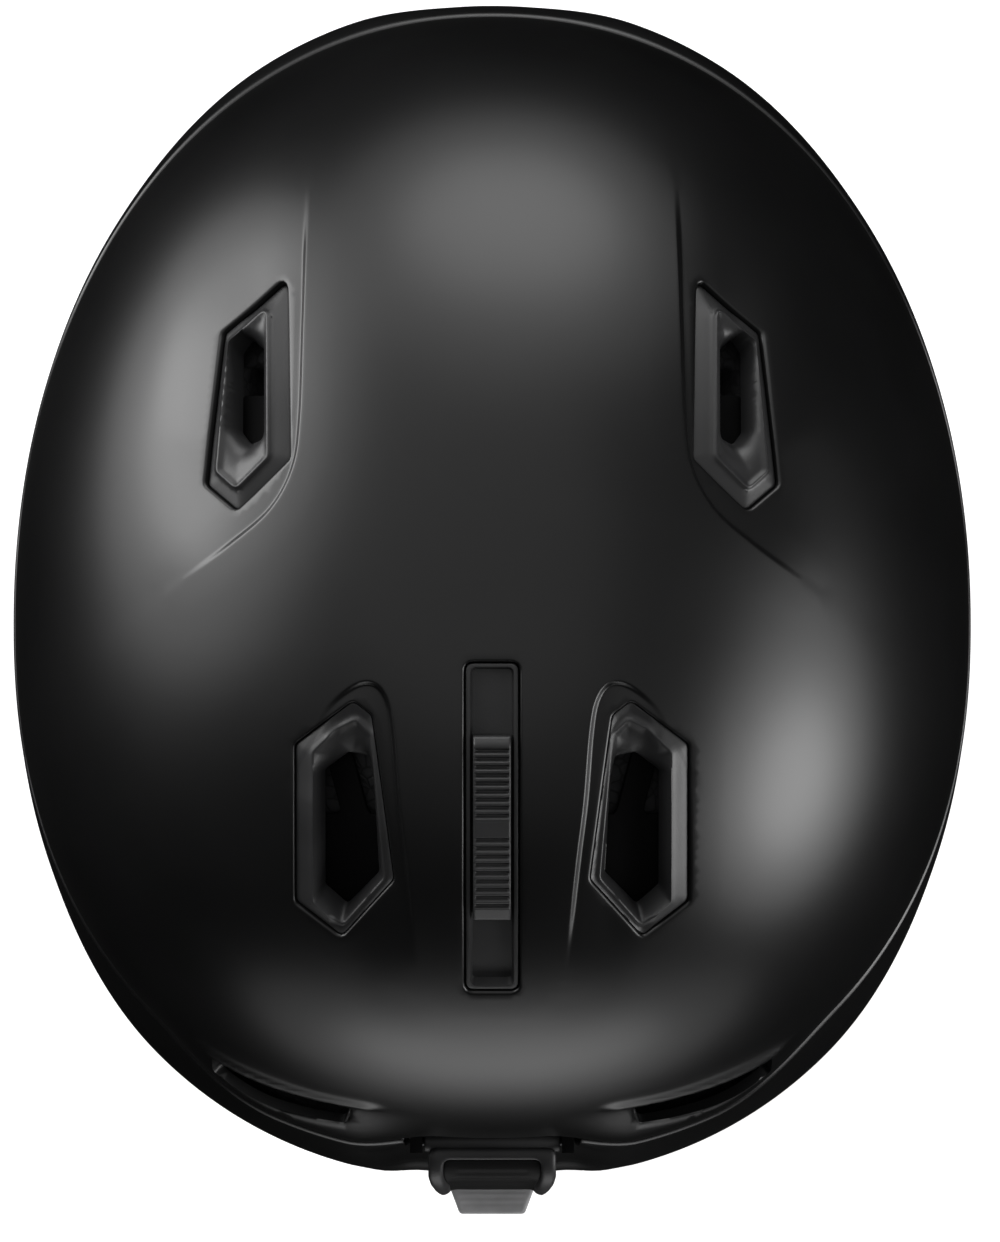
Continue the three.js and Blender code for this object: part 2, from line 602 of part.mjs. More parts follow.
function dialPinion() {
  const corners = [];
  for (let i = 0; i < PINION.teeth; i += 1) {
    const middle = Math.PI / 2 + i * 2 * Math.PI / PINION.teeth;
    const { root, tip } = PINION;
    [[-0.3, root], [-0.075, tip], [0.075, tip], [0.3, root]].forEach(([turn, reach]) => {
      corners.push([reach * Math.cos(middle + turn), reach * Math.sin(middle + turn)]);
    });
  }
  const gear = new THREE.ExtrudeGeometry(shapeOf(corners), { depth: 2.6, bevelEnabled: false });
  gear.rotateX(Math.PI / 2).translate(0, FIT.radius + 1.3, 0);
  return joined(solid(gear), solid(napeRod(PINION.shaft, FIT.radius + 1.1, KNOB.seat, 12)));
}

function dialKnob() {
  const corners = [];
  for (let i = 0; i < KNOB.lobes * 2; i += 1) {
    const turn = i * Math.PI / KNOB.lobes;
    const reach = KNOB.radius - (i % 2) * KNOB.groove;
    corners.push([reach * Math.cos(turn), reach * Math.sin(turn)]);
  }
  const depth = KNOB.end - KNOB.start;
  const body = new THREE.ExtrudeGeometry(shapeOf(corners), { depth, bevelEnabled: false });
  body.rotateX(Math.PI / 2).translate(0, KNOB.end, 0);
  return cut(solid(body),
    solid(napeRod(PINION.shaft + GAP, KNOB.start - 1, KNOB.seat + GAP, 12)),
    solid(napeRod(KNOB.recess, KNOB.seat, KNOB.end + 1, 16)));
}

function housingBack() {
  const { span, half, front, back, outer } = HOUSING;
  const wall = 2.4;
  const plate = solid(arcBand(back, outer, 90 - span, 90 + span, -half, half, 10));
  const walls = [[-half, -half + wall], [half - wall, half]].map(([low, high]) => (
    solid(arcBand(front + GAP, back + 0.2, 90 - span, 90 + span, low, high, 10))));
  return cut(joined(plate, ...walls), solid(napeRod(PINION.shaft + GAP, front, outer + 4, 12)));
}

function housingFront() {
  const { span, half, inner, front } = HOUSING;
  return arcBand(inner, front, 90 - span, 90 + span, -half, half, 10);
}

// A channel on the foam that the end of an arm slides in.
function armGuide() {
  const { from, to, inner, plate, outer, half, lip } = ARM_GUIDE;
  const back = solid(arcBand(plate, outer, from, to, -half, half, 6));
  const lips = [[-half, lip - half], [half - lip, half]].map(([low, high]) => (
    solid(arcBand(inner, plate + 0.2, from, to, low, high, 6))));
  return joined(back, ...lips);
}

function napePad() {
  const { inner, from, to, half } = NAPE_PAD;
  return arcBand(inner, HOUSING.inner - GAP, from, to, -half, half, 8);
}

// A tongue that hangs the dial housing from the foam.
function heightStrap() {
  const curve = new THREE.QuadraticBezierCurve(
    new THREE.Vector2(82, 67), new THREE.Vector2(98, 72), new THREE.Vector2(99.2, 92));
  return sideSlab(ribbon(curve, HEIGHT_STRAP.thickness, 6), -HEIGHT_STRAP.half, HEIGHT_STRAP.half);
}

// ---------------------------------------------------------------- comfort pads
// A pad on the inside of the foam.
function wallPad({ middle, span, low, high, thickness, columns, rows }) {
  const grid = new THREE.BoxGeometry(1, 1, 1, columns, rows, 1);
  return warped(grid, (x, y, z) => {
    const angle = degToRad(middle + x * span);
    const height = lerp(low, high, y + 0.5);
    const reach = reachAt(CAVITY, angle, height, PAD_GAP + thickness * (0.5 - z));
    return placeAround(CAVITY, angle, reach, height);
  });
}

function crownPad() {
  const grid = new THREE.BoxGeometry(CROWN_PAD.width, CROWN_PAD.length, 1, 4, 8, 1);
  return warped(grid, (x, y, z) => (
    new THREE.Vector3(x, y, heightOver(CAVITY, x, y, PAD_GAP + CROWN_PAD.thickness * (0.5 - z)))));
}

// An ear pad hangs under the liner foam, inside the lower shell, and has a flat bottom.
function earPad() {
  const grid = new THREE.BoxGeometry(1, 1, 1, 2, 8, 5);
  return warped(grid, (x, y, z) => {
    const up = z + 0.5;
    const front = lerp(EAR_PAD.bottomFront, EAR_PAD.topFront, up ** 1.4);
    const rear = lerp(EAR_PAD.bottomRear, EAR_PAD.topRear, up ** 1.4);
    const along = lerp(front, rear, y + 0.5);
    const angle = Math.atan2(along, EAR_PAD.middle);
    const reach = outline(BELT, angle) * Math.cos(angle);
    const outer = lerp(EAR_PAD.bottomOuter, reach - EAR_PAD.topOuter, Math.sin(up * Math.PI / 2));
    const across = outer - EAR_PAD.thickness * (0.5 - x);
    const topAngle = Math.atan2(along + lerp(9, 2, x + 0.5), EAR_PAD.middle - lerp(19, 3, x + 0.5));
    return new THREE.Vector3(across, along, up * (rimHeight(topAngle) + EAR_PAD.lift));
  });
}

// A snap between the top of an ear pad and the foam above it.
function earPadSnap(y) {
  const { x, radius, height } = EAR_PAD_SNAP;
  const disc = new THREE.CylinderGeometry(radius, radius, height, 10).rotateX(Math.PI / 2);
  return disc.translate(x, y, RIM.side + EAR_PAD.lift + GAP + height / 2);
}

// ---------------------------------------------------------------- chin strap
// From the anchor on the foam, down inside the ear pad and across to end.
function strapRun(end) {
  const path = new THREE.CurvePath();
  const spot = (x, z) => new THREE.Vector2(x, z);
  const { x, z, bend, top } = STRAP;
  path.add(new THREE.CubicBezierCurve(
    spot(x + 5, top), spot(x + 5, top - 9), spot(x, top - 8), spot(x, top - 17)));
  path.add(new THREE.LineCurve(spot(x, top - 17), spot(x, z + bend)));
  path.add(new THREE.QuadraticBezierCurve(spot(x, z + bend), spot(x, z), spot(x - bend, z)));
  path.add(new THREE.LineCurve(spot(x - bend, z), spot(end, z)));
  return frontSlab(ribbon(path, STRAP.thickness, 40), STRAP.front, STRAP.front + STRAP.width);
}

function strapAnchor() {
  return block(86.6, 88.6, STRAP.front + 1, STRAP.front + STRAP.width - 1, 113, STRAP.top);
}

// The two halves of the buckle hook together and slide apart along Y.
function buckleFemale() {
  const { low, high, front, width } = BUCKLE;
  const hook = [[22, low], [50, low], [50, 5], [47, 5], [47, 3.2], [40, 3.2], [40, high], [22, high]];
  const body = solid(frontSlab(hook, front, front + width));
  return joined(body, solid(block(22, 50, front - 2, front + 0.2, low, high)));
}

function buckleMale() {
  const { low, high, front, width } = BUCKLE;
  const hook = [[51, low], [62, low], [62, high], [40.5, high], [40.5, 5.6], [43, 5.6], [43, 3.8],
    [46.4, 3.8], [46.4, 5.6], [51, 5.6]];
  return frontSlab(hook, front + 0.6, front + width);
}

function chinPad() {
  return block(CHIN_PAD.left, CHIN_PAD.right, CHIN_PAD.front, CHIN_PAD.rear, CHIN_PAD.low, CHIN_PAD.high);
}

// A frame that the webbing passes through along X.
function webbingLoop({ from, to, wall }) {
  const { front, width, thickness, z } = STRAP;
  const rise = thickness / 2;
  const outer = block(from, to, front - 3, front + width + 3, z - rise - wall, z + rise + wall);
  const inside = block(
    from - 1, to + 1, front - 0.8, front + width + 0.8, z - rise - GAP, z + rise + GAP);
  return cut(solid(outer), solid(inside));
}

// ---------------------------------------------------------------- the helmet
addPiece('upper_shell', upperShell(), 'shell');
addPiece('lower_shell', lowerShell(), 'shell');
addPiece('rim_trim', rimTrim(), 'trim');
addPiece('liner_foam', linerFoam(), 'foam');

addPair('vent_frame_front', () => ventFrame(FRONT_VENT), 'insert');
addPair('vent_frame_rear', () => ventFrame(REAR_VENT), 'insert');
addPiece('slider_track', sliderTrack(), 'insert');
addPiece('vent_slider', ventSlider(), 'grip');
addPiece('shutter_plate', shutterPlate(), 'insert');
addPiece('shutter_screw_front', shutterScrew(SHUTTER_SCREW.front), 'metal');
addPiece('shutter_screw_rear', shutterScrew(SHUTTER_SCREW.rear), 'metal');

addPiece('retainer_bracket', retainerBracket(), 'insert');
addPiece('retainer_pin', retainerPin(), 'metal');
addPiece('retainer_clip', retainerClip(), 'insert');
addPiece('retainer_web', retainerWeb(), 'trim');
addPiece('retainer_tab', retainerTab(), 'tab');
addPiece('retainer_catch', retainerCatch(), 'insert');

addFitArms();
addPiece('dial_pinion', dialPinion(), 'insert', fitSystem);
addPiece('dial_knob', dialKnob(), 'grip', fitSystem);
addPiece('dial_screw', napeRod(DIAL_SCREW.radius, DIAL_SCREW.from, DIAL_SCREW.to, 12), 'metal', fitSystem);
addPiece('dial_housing_back', housingBack(), 'insert', fitSystem);
addPiece('dial_housing_front', housingFront(), 'insert', fitSystem);
addPiece('nape_pad', napePad(), 'fabric', fitSystem);
addPair('arm_guide', armGuide, 'insert', fitSystem);
addPiece('height_strap', heightStrap(), 'insert');

addPiece('crown_pad', crownPad(), 'fabric');
addPiece('brow_pad', wallPad(BROW_PAD), 'fabric');
addPair('side_pad', () => wallPad(SIDE_PAD), 'fabric');
addPiece('rear_pad', wallPad(REAR_PAD), 'fabric');
addPair('ear_pad', earPad, 'fabric');
addPair('ear_pad_snap_front', () => earPadSnap(EAR_PAD_SNAP.front), 'metal');
addPair('ear_pad_snap_rear', () => earPadSnap(EAR_PAD_SNAP.rear), 'metal');

addPair('strap_anchor', strapAnchor, 'insert');
addPiece('chin_strap_left', strapRun(LEFT_STRAP_END), 'webbing');
addPiece('chin_strap_right', cleaned(strapRun(RIGHT_STRAP_END)).scale(-1, 1, 1), 'webbing');
addPiece('buckle_female', buckleFemale(), 'insert');
addPiece('buckle_male', buckleMale(), 'insert');
addPiece('chin_pad', chinPad(), 'fabric');
addPiece('strap_adjuster', webbingLoop(ADJUSTER), 'insert');
addPiece('strap_keeper', webbingLoop(KEEPER), 'trim');

helmet.position.y = CENTRING;
export default helmet;
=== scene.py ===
import json
import math
import bmesh
import bpy
import numpy as np
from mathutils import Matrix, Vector, geometry, kdtree

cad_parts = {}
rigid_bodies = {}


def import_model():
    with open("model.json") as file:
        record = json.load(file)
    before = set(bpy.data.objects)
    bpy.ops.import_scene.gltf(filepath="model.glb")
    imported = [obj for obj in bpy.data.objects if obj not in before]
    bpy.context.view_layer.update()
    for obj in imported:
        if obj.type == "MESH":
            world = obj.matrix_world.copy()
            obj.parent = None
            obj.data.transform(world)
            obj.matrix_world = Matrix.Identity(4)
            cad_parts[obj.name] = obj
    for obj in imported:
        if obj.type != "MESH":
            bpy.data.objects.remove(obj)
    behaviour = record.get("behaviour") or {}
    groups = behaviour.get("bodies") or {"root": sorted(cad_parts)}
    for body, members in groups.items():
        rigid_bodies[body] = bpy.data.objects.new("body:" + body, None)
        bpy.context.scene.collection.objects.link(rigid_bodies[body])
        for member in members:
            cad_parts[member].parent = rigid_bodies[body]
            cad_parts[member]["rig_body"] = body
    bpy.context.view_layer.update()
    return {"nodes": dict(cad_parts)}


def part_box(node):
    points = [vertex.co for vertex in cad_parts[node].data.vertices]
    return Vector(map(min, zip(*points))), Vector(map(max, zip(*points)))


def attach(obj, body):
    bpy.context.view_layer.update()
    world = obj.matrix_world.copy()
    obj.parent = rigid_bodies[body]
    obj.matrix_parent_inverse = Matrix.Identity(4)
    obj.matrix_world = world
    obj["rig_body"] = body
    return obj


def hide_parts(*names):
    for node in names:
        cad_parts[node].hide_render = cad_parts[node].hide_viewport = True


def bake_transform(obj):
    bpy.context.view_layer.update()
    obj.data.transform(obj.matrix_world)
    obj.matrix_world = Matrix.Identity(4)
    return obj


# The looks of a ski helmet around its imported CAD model. Shapes are worked out in millimetres, before the
# shift that centres the helmet over the origin, and turned into metres when a mesh is made. X is the
# wearer's left, Y runs from brow to nape and Z is up.
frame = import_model()

# ------------------------------------------------------------------ driving dimensions, in millimetres
MM = 0.001
CENTRING = 3.24          # shift along Y of everything, as in the CAD model
EQUATOR = 120.0          # height at which the domes are widest
WALL_SPAN = 75.0         # wall below the equator that one unit of the flat map stands for
TAPER_SPAN = 60.0        # wall over which a dome draws in by its taper
GAP = 0.4                # between the two shells, around the slider track, and from rim to trim
BATCH = 4000             # points handled at a time where distances fill a table
TAU = 2 * math.pi


def box_mm(node):
    low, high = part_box(node)
    shift = np.array([0, CENTRING, 0])
    return np.array(low) / MM - shift, np.array(high) / MM - shift


SHELL_LOW, SHELL_HIGH = box_mm("upper_shell")
SHELL = {
    "centre": 0.0, "front": -SHELL_LOW[1], "rear": SHELL_HIGH[1], "half": SHELL_HIGH[0],
    "front_power": 2.11, "rear_power": 2.23, "rise": SHELL_HIGH[2] - EQUATOR,
    "roundness": 2.15, "taper": 0.02,
}
CAVITY = {
    "centre": -8.0, "front": 110.0, "rear": 110.0, "half": 90.0,
    "front_power": 2.1, "rear_power": 2.1, "rise": 81.0, "roundness": 2.15, "taper": 0.03,
}
BELT = {"front": 150.1, "rear": 133.9, "half": 116.0, "front_power": 2.11, "rear_power": 2.23}
SHELF = {"reach": 4.4, "start": 6, "full": 16, "fading": 24, "end": 42, "low": 134, "high": 156}
# Heights, with the turns from the front, in degrees, over which they change.
RIM = {"front": 106.0, "side": 84.0, "rear": 56.0, "to_side": (45, 80), "to_rear": (108, 155)}
BELT_HEIGHT = {"front": 11.0, "side": 18.0, "rear": 56.0, "to_side": (40, 85), "to_rear": (105, 155)}
SHELL_WALL = 2.6
SOFT_SHARP = math.radians(50)    # folds sharper than this stay crisp on large shells
FINE_SHARP = math.radians(60)    # sharper than this, on small moulded parts
FOLD_SHARP = math.radians(38)    # and than this everywhere else

# Plan outlines for the wearer's left; the right side mirrors them. Depths are below the shell's surface:
# the pocket's edge, the ledge beside the bezel, both again past "turn" on the outer flank, and the hole.
FRONT_VENT = {
    "pocket": [(49.9, -84.3), (65.4, -70.7), (69.5, -33.7), (62, -27.4), (49.1, -40.2)],
    "bezel": [(54.6, -76.8), (63.8, -68.3), (66.6, -37), (62, -32.9), (54.4, -40.6)],
    "hole": [(57.4, -68.0), (61.0, -71.0), (63.4, -67.5), (63.4, -47.5), (61, -44.5), (57.4, -46.5)],
    "foam_hole": [(58, -66), (66, -66), (66, -47), (58, -47)],
    "crest": [(44.3, -104), (45.2, -88), (45.8, -71.4), (46.5, -50), (48.2, -38), (53.5, -28),
              (63, -19.5), (73.5, -11.5)],
    "step": 1.9, "fade": (10, 34), "edge": 2.0, "ledge": 0.6, "outer_edge": 1.6, "outer_ledge": 0.6,
    "turn": 60.0, "bead": 0.62, "hole_depth": 6.2, "dish": 2.6,
}
REAR_VENT = {
    "pocket": [(33.5, 18.2), (47.4, 28.6), (47.4, 66.4), (36.1, 75), (23.7, 61.7), (29.1, 21.8)],
    "bezel": [(33, 22.8), (37.4, 25), (42.9, 30.4), (42.9, 66.4), (36.1, 72.4), (26.2, 61.6),
              (29.5, 26.6)],
    "hole": [(30.9, 32.5), (36, 31.6), (42.1, 36), (42.1, 65.2), (36.4, 70.2), (28.3, 62), (29.7, 38)],
    "foam_hole": [(34, 52), (46, 52), (46, 64), (41, 68), (34, 61)],
    "crest": [(42, 25), (38.5, 19.2), (32.7, 14.6), (28.2, 14.3), (25.3, 18.2), (23.9, 26), (22.6, 42),
              (21, 55), (19.6, 67), (17.8, 82)],
    "step": 1.7, "fade": (8, 18), "edge": 0.8, "ledge": 2.1, "outer_edge": 1.0, "outer_ledge": 0.1,
    "turn": 39.0, "bead": 0.85, "hole_depth": 6.4, "dish": 1.3,
}
FRAME_BOTTOM = 7.3
TRACK = {"half": 6.3, "channel": 5.3, "front": 9.2, "rear": 87.7, "wall": 0.9, "rim": 0.55, "floor": 3.0,
         "bottom": 5.6}
SLOT_IN_TRACK = {"half": 1.9, "front": 28.0, "rear": 70.0}
SLIDER = {"half": 4.5, "front": 26.6, "rear": 70.9, "proud": 0.9, "bottom": 2.3, "rib_pitch": 1.95}
EXHAUST = [(35, 144), (66, 135), (67, 145), (34, 153.6)]         # (X, Z), seen from behind
LIP = [(25, 156.8), (34, 155.8), (67, 147.2), (73, 144.5)]       # crest over each slot, as (X, Z)
SHUTTER = [
    (6, 34), (6, 56), (28, 56), (28, 48), (31.5, 48), (53, -31), (51.5, -31), (51.5, -57.5),
    (65, -57.5), (65, -31), (60, -31), (38.5, 48), (44.5, 48), (44.5, 74), (28, 74), (28, 62), (6, 62),
    (6, 66)]

# Fit system: an arc of this radius about an axis tilted back, as in the CAD model.
FIT = {"z": 93.0, "tilt": math.radians(-28), "radius": 84.0}


# ------------------------------------------------------------------ arithmetic on outlines
def smoothstep(value, low, high):
    share = np.clip((np.asarray(value, float) - low) / (high - low), 0, 1)
    return share * share * (3 - 2 * share)


def mirrored(points):
    return [(-x, y) for x, y in points]


def both_halves(points):
    return points + mirrored(points)[::-1]


def rectangle(half, front, rear):
    return both_halves([(half, front), (half, rear)])


def full_turn(count):
    return np.linspace(0, TAU, count, endpoint=False)


def polar(reach, angle):
    return np.column_stack([reach * np.cos(angle), reach * np.sin(angle)])


def flattened(wave, power):
    """A sine or cosine with its rounded tops squared off by a power under 1."""
    return math.copysign(abs(wave) ** power, wave)


def ripple(distance, pitch):
    """A wave from 0 to 1 and back over each pitch."""
    return 0.5 - 0.5 * np.cos(TAU * distance / pitch)


def travelled(path):
    """The length along a path from its start to each of its points."""
    return np.concatenate([[0], np.cumsum(np.hypot(*np.diff(path, axis=0).T))])


def resampled(path, step, closed=True):
    """Evenly spaced points along a path."""
    path = np.asarray(path, float)
    if closed:
        path = np.vstack([path, path[:1]])
    travel = travelled(path)
    count = max(int(round(travel[-1] / step)), 4)
    marks = np.linspace(0, travel[-1], count + 1)
    spots = np.column_stack([np.interp(marks, travel, path[:, k]) for k in (0, 1)])
    return spots[:-1] if closed else spots


def counter_clockwise(loop):
    x, y = loop.T
    return loop if np.sum(x * np.roll(y, -1) - y * np.roll(x, -1)) > 0 else loop[::-1]


def rounded(points, radius, step=0.8):
    """A closed, counter-clockwise outline with rounded corners."""
    corners = counter_clockwise(np.asarray(points, float))
    path = []
    for before, corner, after in zip(np.roll(corners, 1, 0), corners, np.roll(corners, -1, 0)):
        back, on = before - corner, after - corner
        back_length, on_length = np.hypot(*back), np.hypot(*on)
        cosine = np.clip(back @ on / back_length / on_length, -1, 1)
        reach = min(radius / math.tan(math.acos(cosine) / 2), 0.45 * back_length, 0.45 * on_length)
        start, end = corner + back / back_length * reach, corner + on / on_length * reach
        for t in np.linspace(0, 1, 7):
            path.append((1 - t) ** 2 * start + 2 * t * (1 - t) * corner + t * t * end)
    return resampled(path, step)


def offset(loop, distance):
    """A counter-clockwise loop moved outward."""
    along = np.roll(loop, -1, 0) - np.roll(loop, 1, 0)
    along /= np.hypot(*along.T)[:, None]
    return loop + np.column_stack([along[:, 1], -along[:, 0]]) * distance


def curve_through(points, step=0.8):
    """A smooth open curve through points, as evenly spaced points."""
    knots = np.asarray(points, float)
    knots = np.vstack([2 * knots[0] - knots[1], knots, 2 * knots[-1] - knots[-2]])
    path = []
    for a, b, c, d in zip(knots, knots[1:], knots[2:], knots[3:]):
        for t in np.linspace(0, 1, 12, endpoint=False):
            path.append(0.5 * (2 * b + (c - a) * t + (2 * a - 5 * b + 4 * c - d) * t ** 2
                               + (3 * b - a - 3 * c + d) * t ** 3))
    path.append(knots[-2])
    return resampled(path, step, closed=False)


def nearest_on(points, starts, ends):
    """For each point, the distance to the nearest segment, its index, the place along it and the side."""
    best, place, side = np.zeros((3, len(points)))
    index = np.zeros(len(points), int)
    along = ends - starts
    squares = np.maximum((along ** 2).sum(1), 1e-12)
    for low in range(0, len(points), BATCH):
        part = slice(low, low + BATCH)
        rel = points[part, None, :] - starts[None]
        t = np.clip((rel * along[None]).sum(2) / squares, 0, 1)
        away = rel - t[..., None] * along[None]
        far = (away ** 2).sum(2)
        pick = far.argmin(1)
        rows = np.arange(len(pick))
        best[part] = np.sqrt(far[rows, pick])
        index[part] = pick
        place[part] = t[rows, pick]
        side[part] = (rel[rows, pick, 0] * along[pick, 1] - rel[rows, pick, 1] * along[pick, 0])
    return best, index, place, side


def distance_to_loop(points, *loops):
    """How far each point is from the nearest of some closed outlines."""
    return np.minimum.reduce([nearest_on(points, loop, np.roll(loop, -1, 0))[0] for loop in loops])


def inside(points, loop):
    """Which points lie inside a closed outline."""
    x, y = points.T
    result = np.zeros(len(points), bool)
    for (x0, y0), (x1, y1) in zip(loop, np.roll(loop, -1, 0)):
        if y0 != y1:
            result ^= ((y0 > y) != (y1 > y)) & (x < (x1 - x0) * (y - y0) / (y1 - y0) + x0)
    return result


def edge_round(distance, radius):
    """How far a rounded edge has dropped, at a distance in from the edge."""
    short = np.clip(radius - distance, 0, radius)
    return radius - np.sqrt(radius ** 2 - short ** 2)


# ------------------------------------------------------------------ helmet surfaces
def outline(dome, angle):
    is_front = np.sin(angle) < 0
    length = np.where(is_front, dome["front"], dome["rear"])
    power = np.where(is_front, dome["front_power"], dome["rear_power"])
    across = (np.abs(np.cos(angle)) / dome["half"]) ** power
    along = (np.abs(np.sin(angle)) / length) ** power
    return (across + along) ** (-1 / power)


def turn_from_front(angle):
    return np.degrees(np.arccos(np.clip(-np.sin(angle), -1, 1)))


def rim_height(angle):
    turn = turn_from_front(angle)
    to_side = (RIM["side"] - RIM["front"]) * smoothstep(turn, *RIM["to_side"])
    return RIM["front"] + to_side + (RIM["rear"] - RIM["side"]) * smoothstep(turn, *RIM["to_rear"])


def seam_height(angle):
    turn, belt = turn_from_front(angle), BELT_HEIGHT
    to_side = (belt["side"] - belt["front"]) * smoothstep(turn, *belt["to_side"])
    to_rear = (belt["rear"] - belt["side"]) * smoothstep(turn, *belt["to_rear"])
    return rim_height(angle) + belt["front"] + to_side + to_rear


def shelf(angle, height):
    """How far the shelf under the exhaust slots flares out of the shell."""
    turn = 180 - turn_from_front(angle)
    beside = smoothstep(turn, SHELF["start"], SHELF["full"])
    beside *= 1 - smoothstep(turn, SHELF["fading"], SHELF["end"])
    return SHELF["reach"] * beside * (1 - smoothstep(height, SHELF["low"], SHELF["high"]))


def fold(dome, u, v):
    """From the flat map of a dome to its surface. The map's middle is the crown."""
    angle = np.arctan2(v, u)
    reach = outline(dome, angle)
    share = np.hypot(u, v) / reach
    lift = (1 - np.minimum(share, 1)) * math.pi / 2
    ring = reach * np.clip(np.cos(lift), 0, 1) ** (2 / dome["roundness"])
    height = EQUATOR + dome["rise"] * np.sin(lift) ** (2 / dome["roundness"])
    below = np.maximum(share - 1, 0) * WALL_SPAN
    ring = ring * (1 - dome["taper"] * (below / TAPER_SPAN) ** 2)
    height = height - below
    if dome is SHELL:
        ring = ring + shelf(angle, height)
    return np.column_stack([ring * np.cos(angle), dome["centre"] + ring * np.sin(angle), height])


def unfold(dome, x, y):
    """From a plan position to the flat map."""
    along = y - dome["centre"]
    angle = np.arctan2(along, x)
    reach = outline(dome, angle)
    share = np.clip(np.hypot(x, along) / reach, 0, 1)
    lift = np.arccos(share ** (dome["roundness"] / 2))
    return polar((1 - 2 * lift / math.pi) * reach, angle)


def place_on_dome(dome, flat, depth):
    """Points of the flat map, moved square to the surface by a depth."""
    u, v = flat.T
    step = 0.05
    across = fold(dome, u + step, v) - fold(dome, u - step, v)
    along = fold(dome, u, v + step) - fold(dome, u, v - step)
    normal = np.cross(across, along)
    normal /= np.linalg.norm(normal, axis=1)[:, None]
    return fold(dome, u, v) - normal * np.asarray(depth)[..., None]


def arch(dome, share):
    """The share of a dome's reach that is left at a share of its rise, and the other way round."""
    return np.maximum(1 - share ** dome["roundness"], 0) ** (1 / dome["roundness"])


def place_on_shell(plan, depth):
    return place_on_dome(SHELL, unfold(SHELL, *plan.T), depth)


def behind(points):
    """Plan positions on the rear of the shell for (X, Z) points."""
    x, z = np.asarray(points, float).T
    share = arch(SHELL, (z - EQUATOR) / SHELL["rise"])
    power = SHELL["rear_power"]
    left = 1 - (np.abs(x) / share / SHELL["half"]) ** power
    return np.column_stack([x, share * SHELL["rear"] * left ** (1 / power)])


# ------------------------------------------------------------------ meshes
def make_object(name, verts, faces, material, sharp=FOLD_SHARP):
    """A shaded mesh object from millimetres in the design frame."""
    verts = np.asarray(verts, float) + np.array([0, CENTRING, 0])
    mesh = bpy.data.meshes.new(name)
    mesh.from_pydata((verts * MM).tolist(), [], [list(map(int, face)) for face in faces])
    work = bmesh.new()
    work.from_mesh(mesh)
    bmesh.ops.remove_doubles(work, verts=work.verts, dist=1e-6)
    bmesh.ops.recalc_face_normals(work, faces=work.faces)
    work.to_mesh(mesh)
    work.free()
    mesh.shade_smooth()
    mesh.set_sharp_from_angle(angle=sharp)
    mesh.materials.append(material)
    obj = bpy.data.objects.new(name, mesh)
    bpy.context.scene.collection.objects.link(obj)
    return obj


def stand_for(obj, node):
    """Puts a piece on the body of the CAD node that it stands for."""
    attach(obj, frame["nodes"][node]["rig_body"])
    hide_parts(node)


def piece(name, solid, material, node, sharp=FOLD_SHARP):
    """Makes a solid, given as points and faces, into the piece that stands for a CAD node."""
    stand_for(make_object(name, *solid, material, sharp), node)


def tree_of(points):
    tree = kdtree.KDTree(len(points))
    for k, point in enumerate(points):
        tree.insert((*point, 0), k)
    tree.balance()
    return tree


def hex_grid(loop, spacing):
    low, high = loop.min(0), loop.max(0)
    row_share = 0.866            # of the spacing, as in equal-sided triangles
    rows = np.arange(low[1] + spacing / 2, high[1], spacing * row_share)
    spots = []
    for k, y in enumerate(rows):
        xs = np.arange(low[0] + (0.25 if k % 2 else 0.75) * spacing, high[0], spacing)
        spots.append(np.column_stack([xs, np.full(len(xs), y)]))
    return np.vstack(spots)


def region(boundary, holes=(), rings=(), lines=(), spacing=2.0, extra=None):
    """Triangles over a flat region. Rings and lines are kept as edges; extra adds finer points."""
    loops = [boundary, *holes, *rings]
    points, edges = [], []
    for loop in loops:
        start = len(points)
        points.extend(loop.tolist())
        edges.extend((start + k, start + (k + 1) % len(loop)) for k in range(len(loop)))
    for line in lines:
        start = len(points)
        points.extend(line.tolist())
        edges.extend((start + k, start + k + 1) for k in range(len(line) - 1))
    tree = tree_of(points)
    fill = hex_grid(boundary, spacing)
    fill = fill[inside(fill, boundary)]
    if extra is not None:
        fine, keep_coarse = extra
        fill = np.vstack([fill[keep_coarse(fill)], fine[inside(fine, boundary)]])
    for hole in holes:
        fill = fill[~inside(fill, hole)]
    room = 0.45 * spacing if extra is None else 0.45
    points.extend(p for p in fill.tolist() if tree.find((*p, 0))[2] > room)
    spots, _, triangles = geometry.delaunay_2d_cdt([Vector(p) for p in points], edges, [], 0, 1e-5, False)[:3]
    verts, faces = np.array([tuple(p) for p in spots]), np.array(triangles)
    middles = verts[faces].mean(1)
    keep = inside(middles, boundary)
    for hole in holes:
        keep &= ~inside(middles, hole)
    return verts, faces[keep]


def rim_edges(faces):
    """The directed edges that only one face uses."""
    edges = dict.fromkeys(edge for face in faces.tolist() for edge in zip(face, face[1:] + face[:1]))
    return [(a, b) for a, b in edges if (b, a) not in edges]


def thick(flat, place, top, bottom):
    """A closed solid over a flat region between two depths, each a number or a function of the points."""
    verts, faces = flat
    used = np.unique(faces)
    renumber = np.full(len(verts), -1)
    renumber[used] = np.arange(len(used))
    verts, faces = verts[used], renumber[faces]
    count = len(verts)
    skins = [place(verts, depth(verts) if callable(depth) else np.full(count, depth))
             for depth in (top, bottom)]
    walls = [(b, a, a + count, b + count) for a, b in rim_edges(faces)]
    return np.vstack(skins), faces.tolist() + (faces[:, ::-1] + count).tolist() + walls


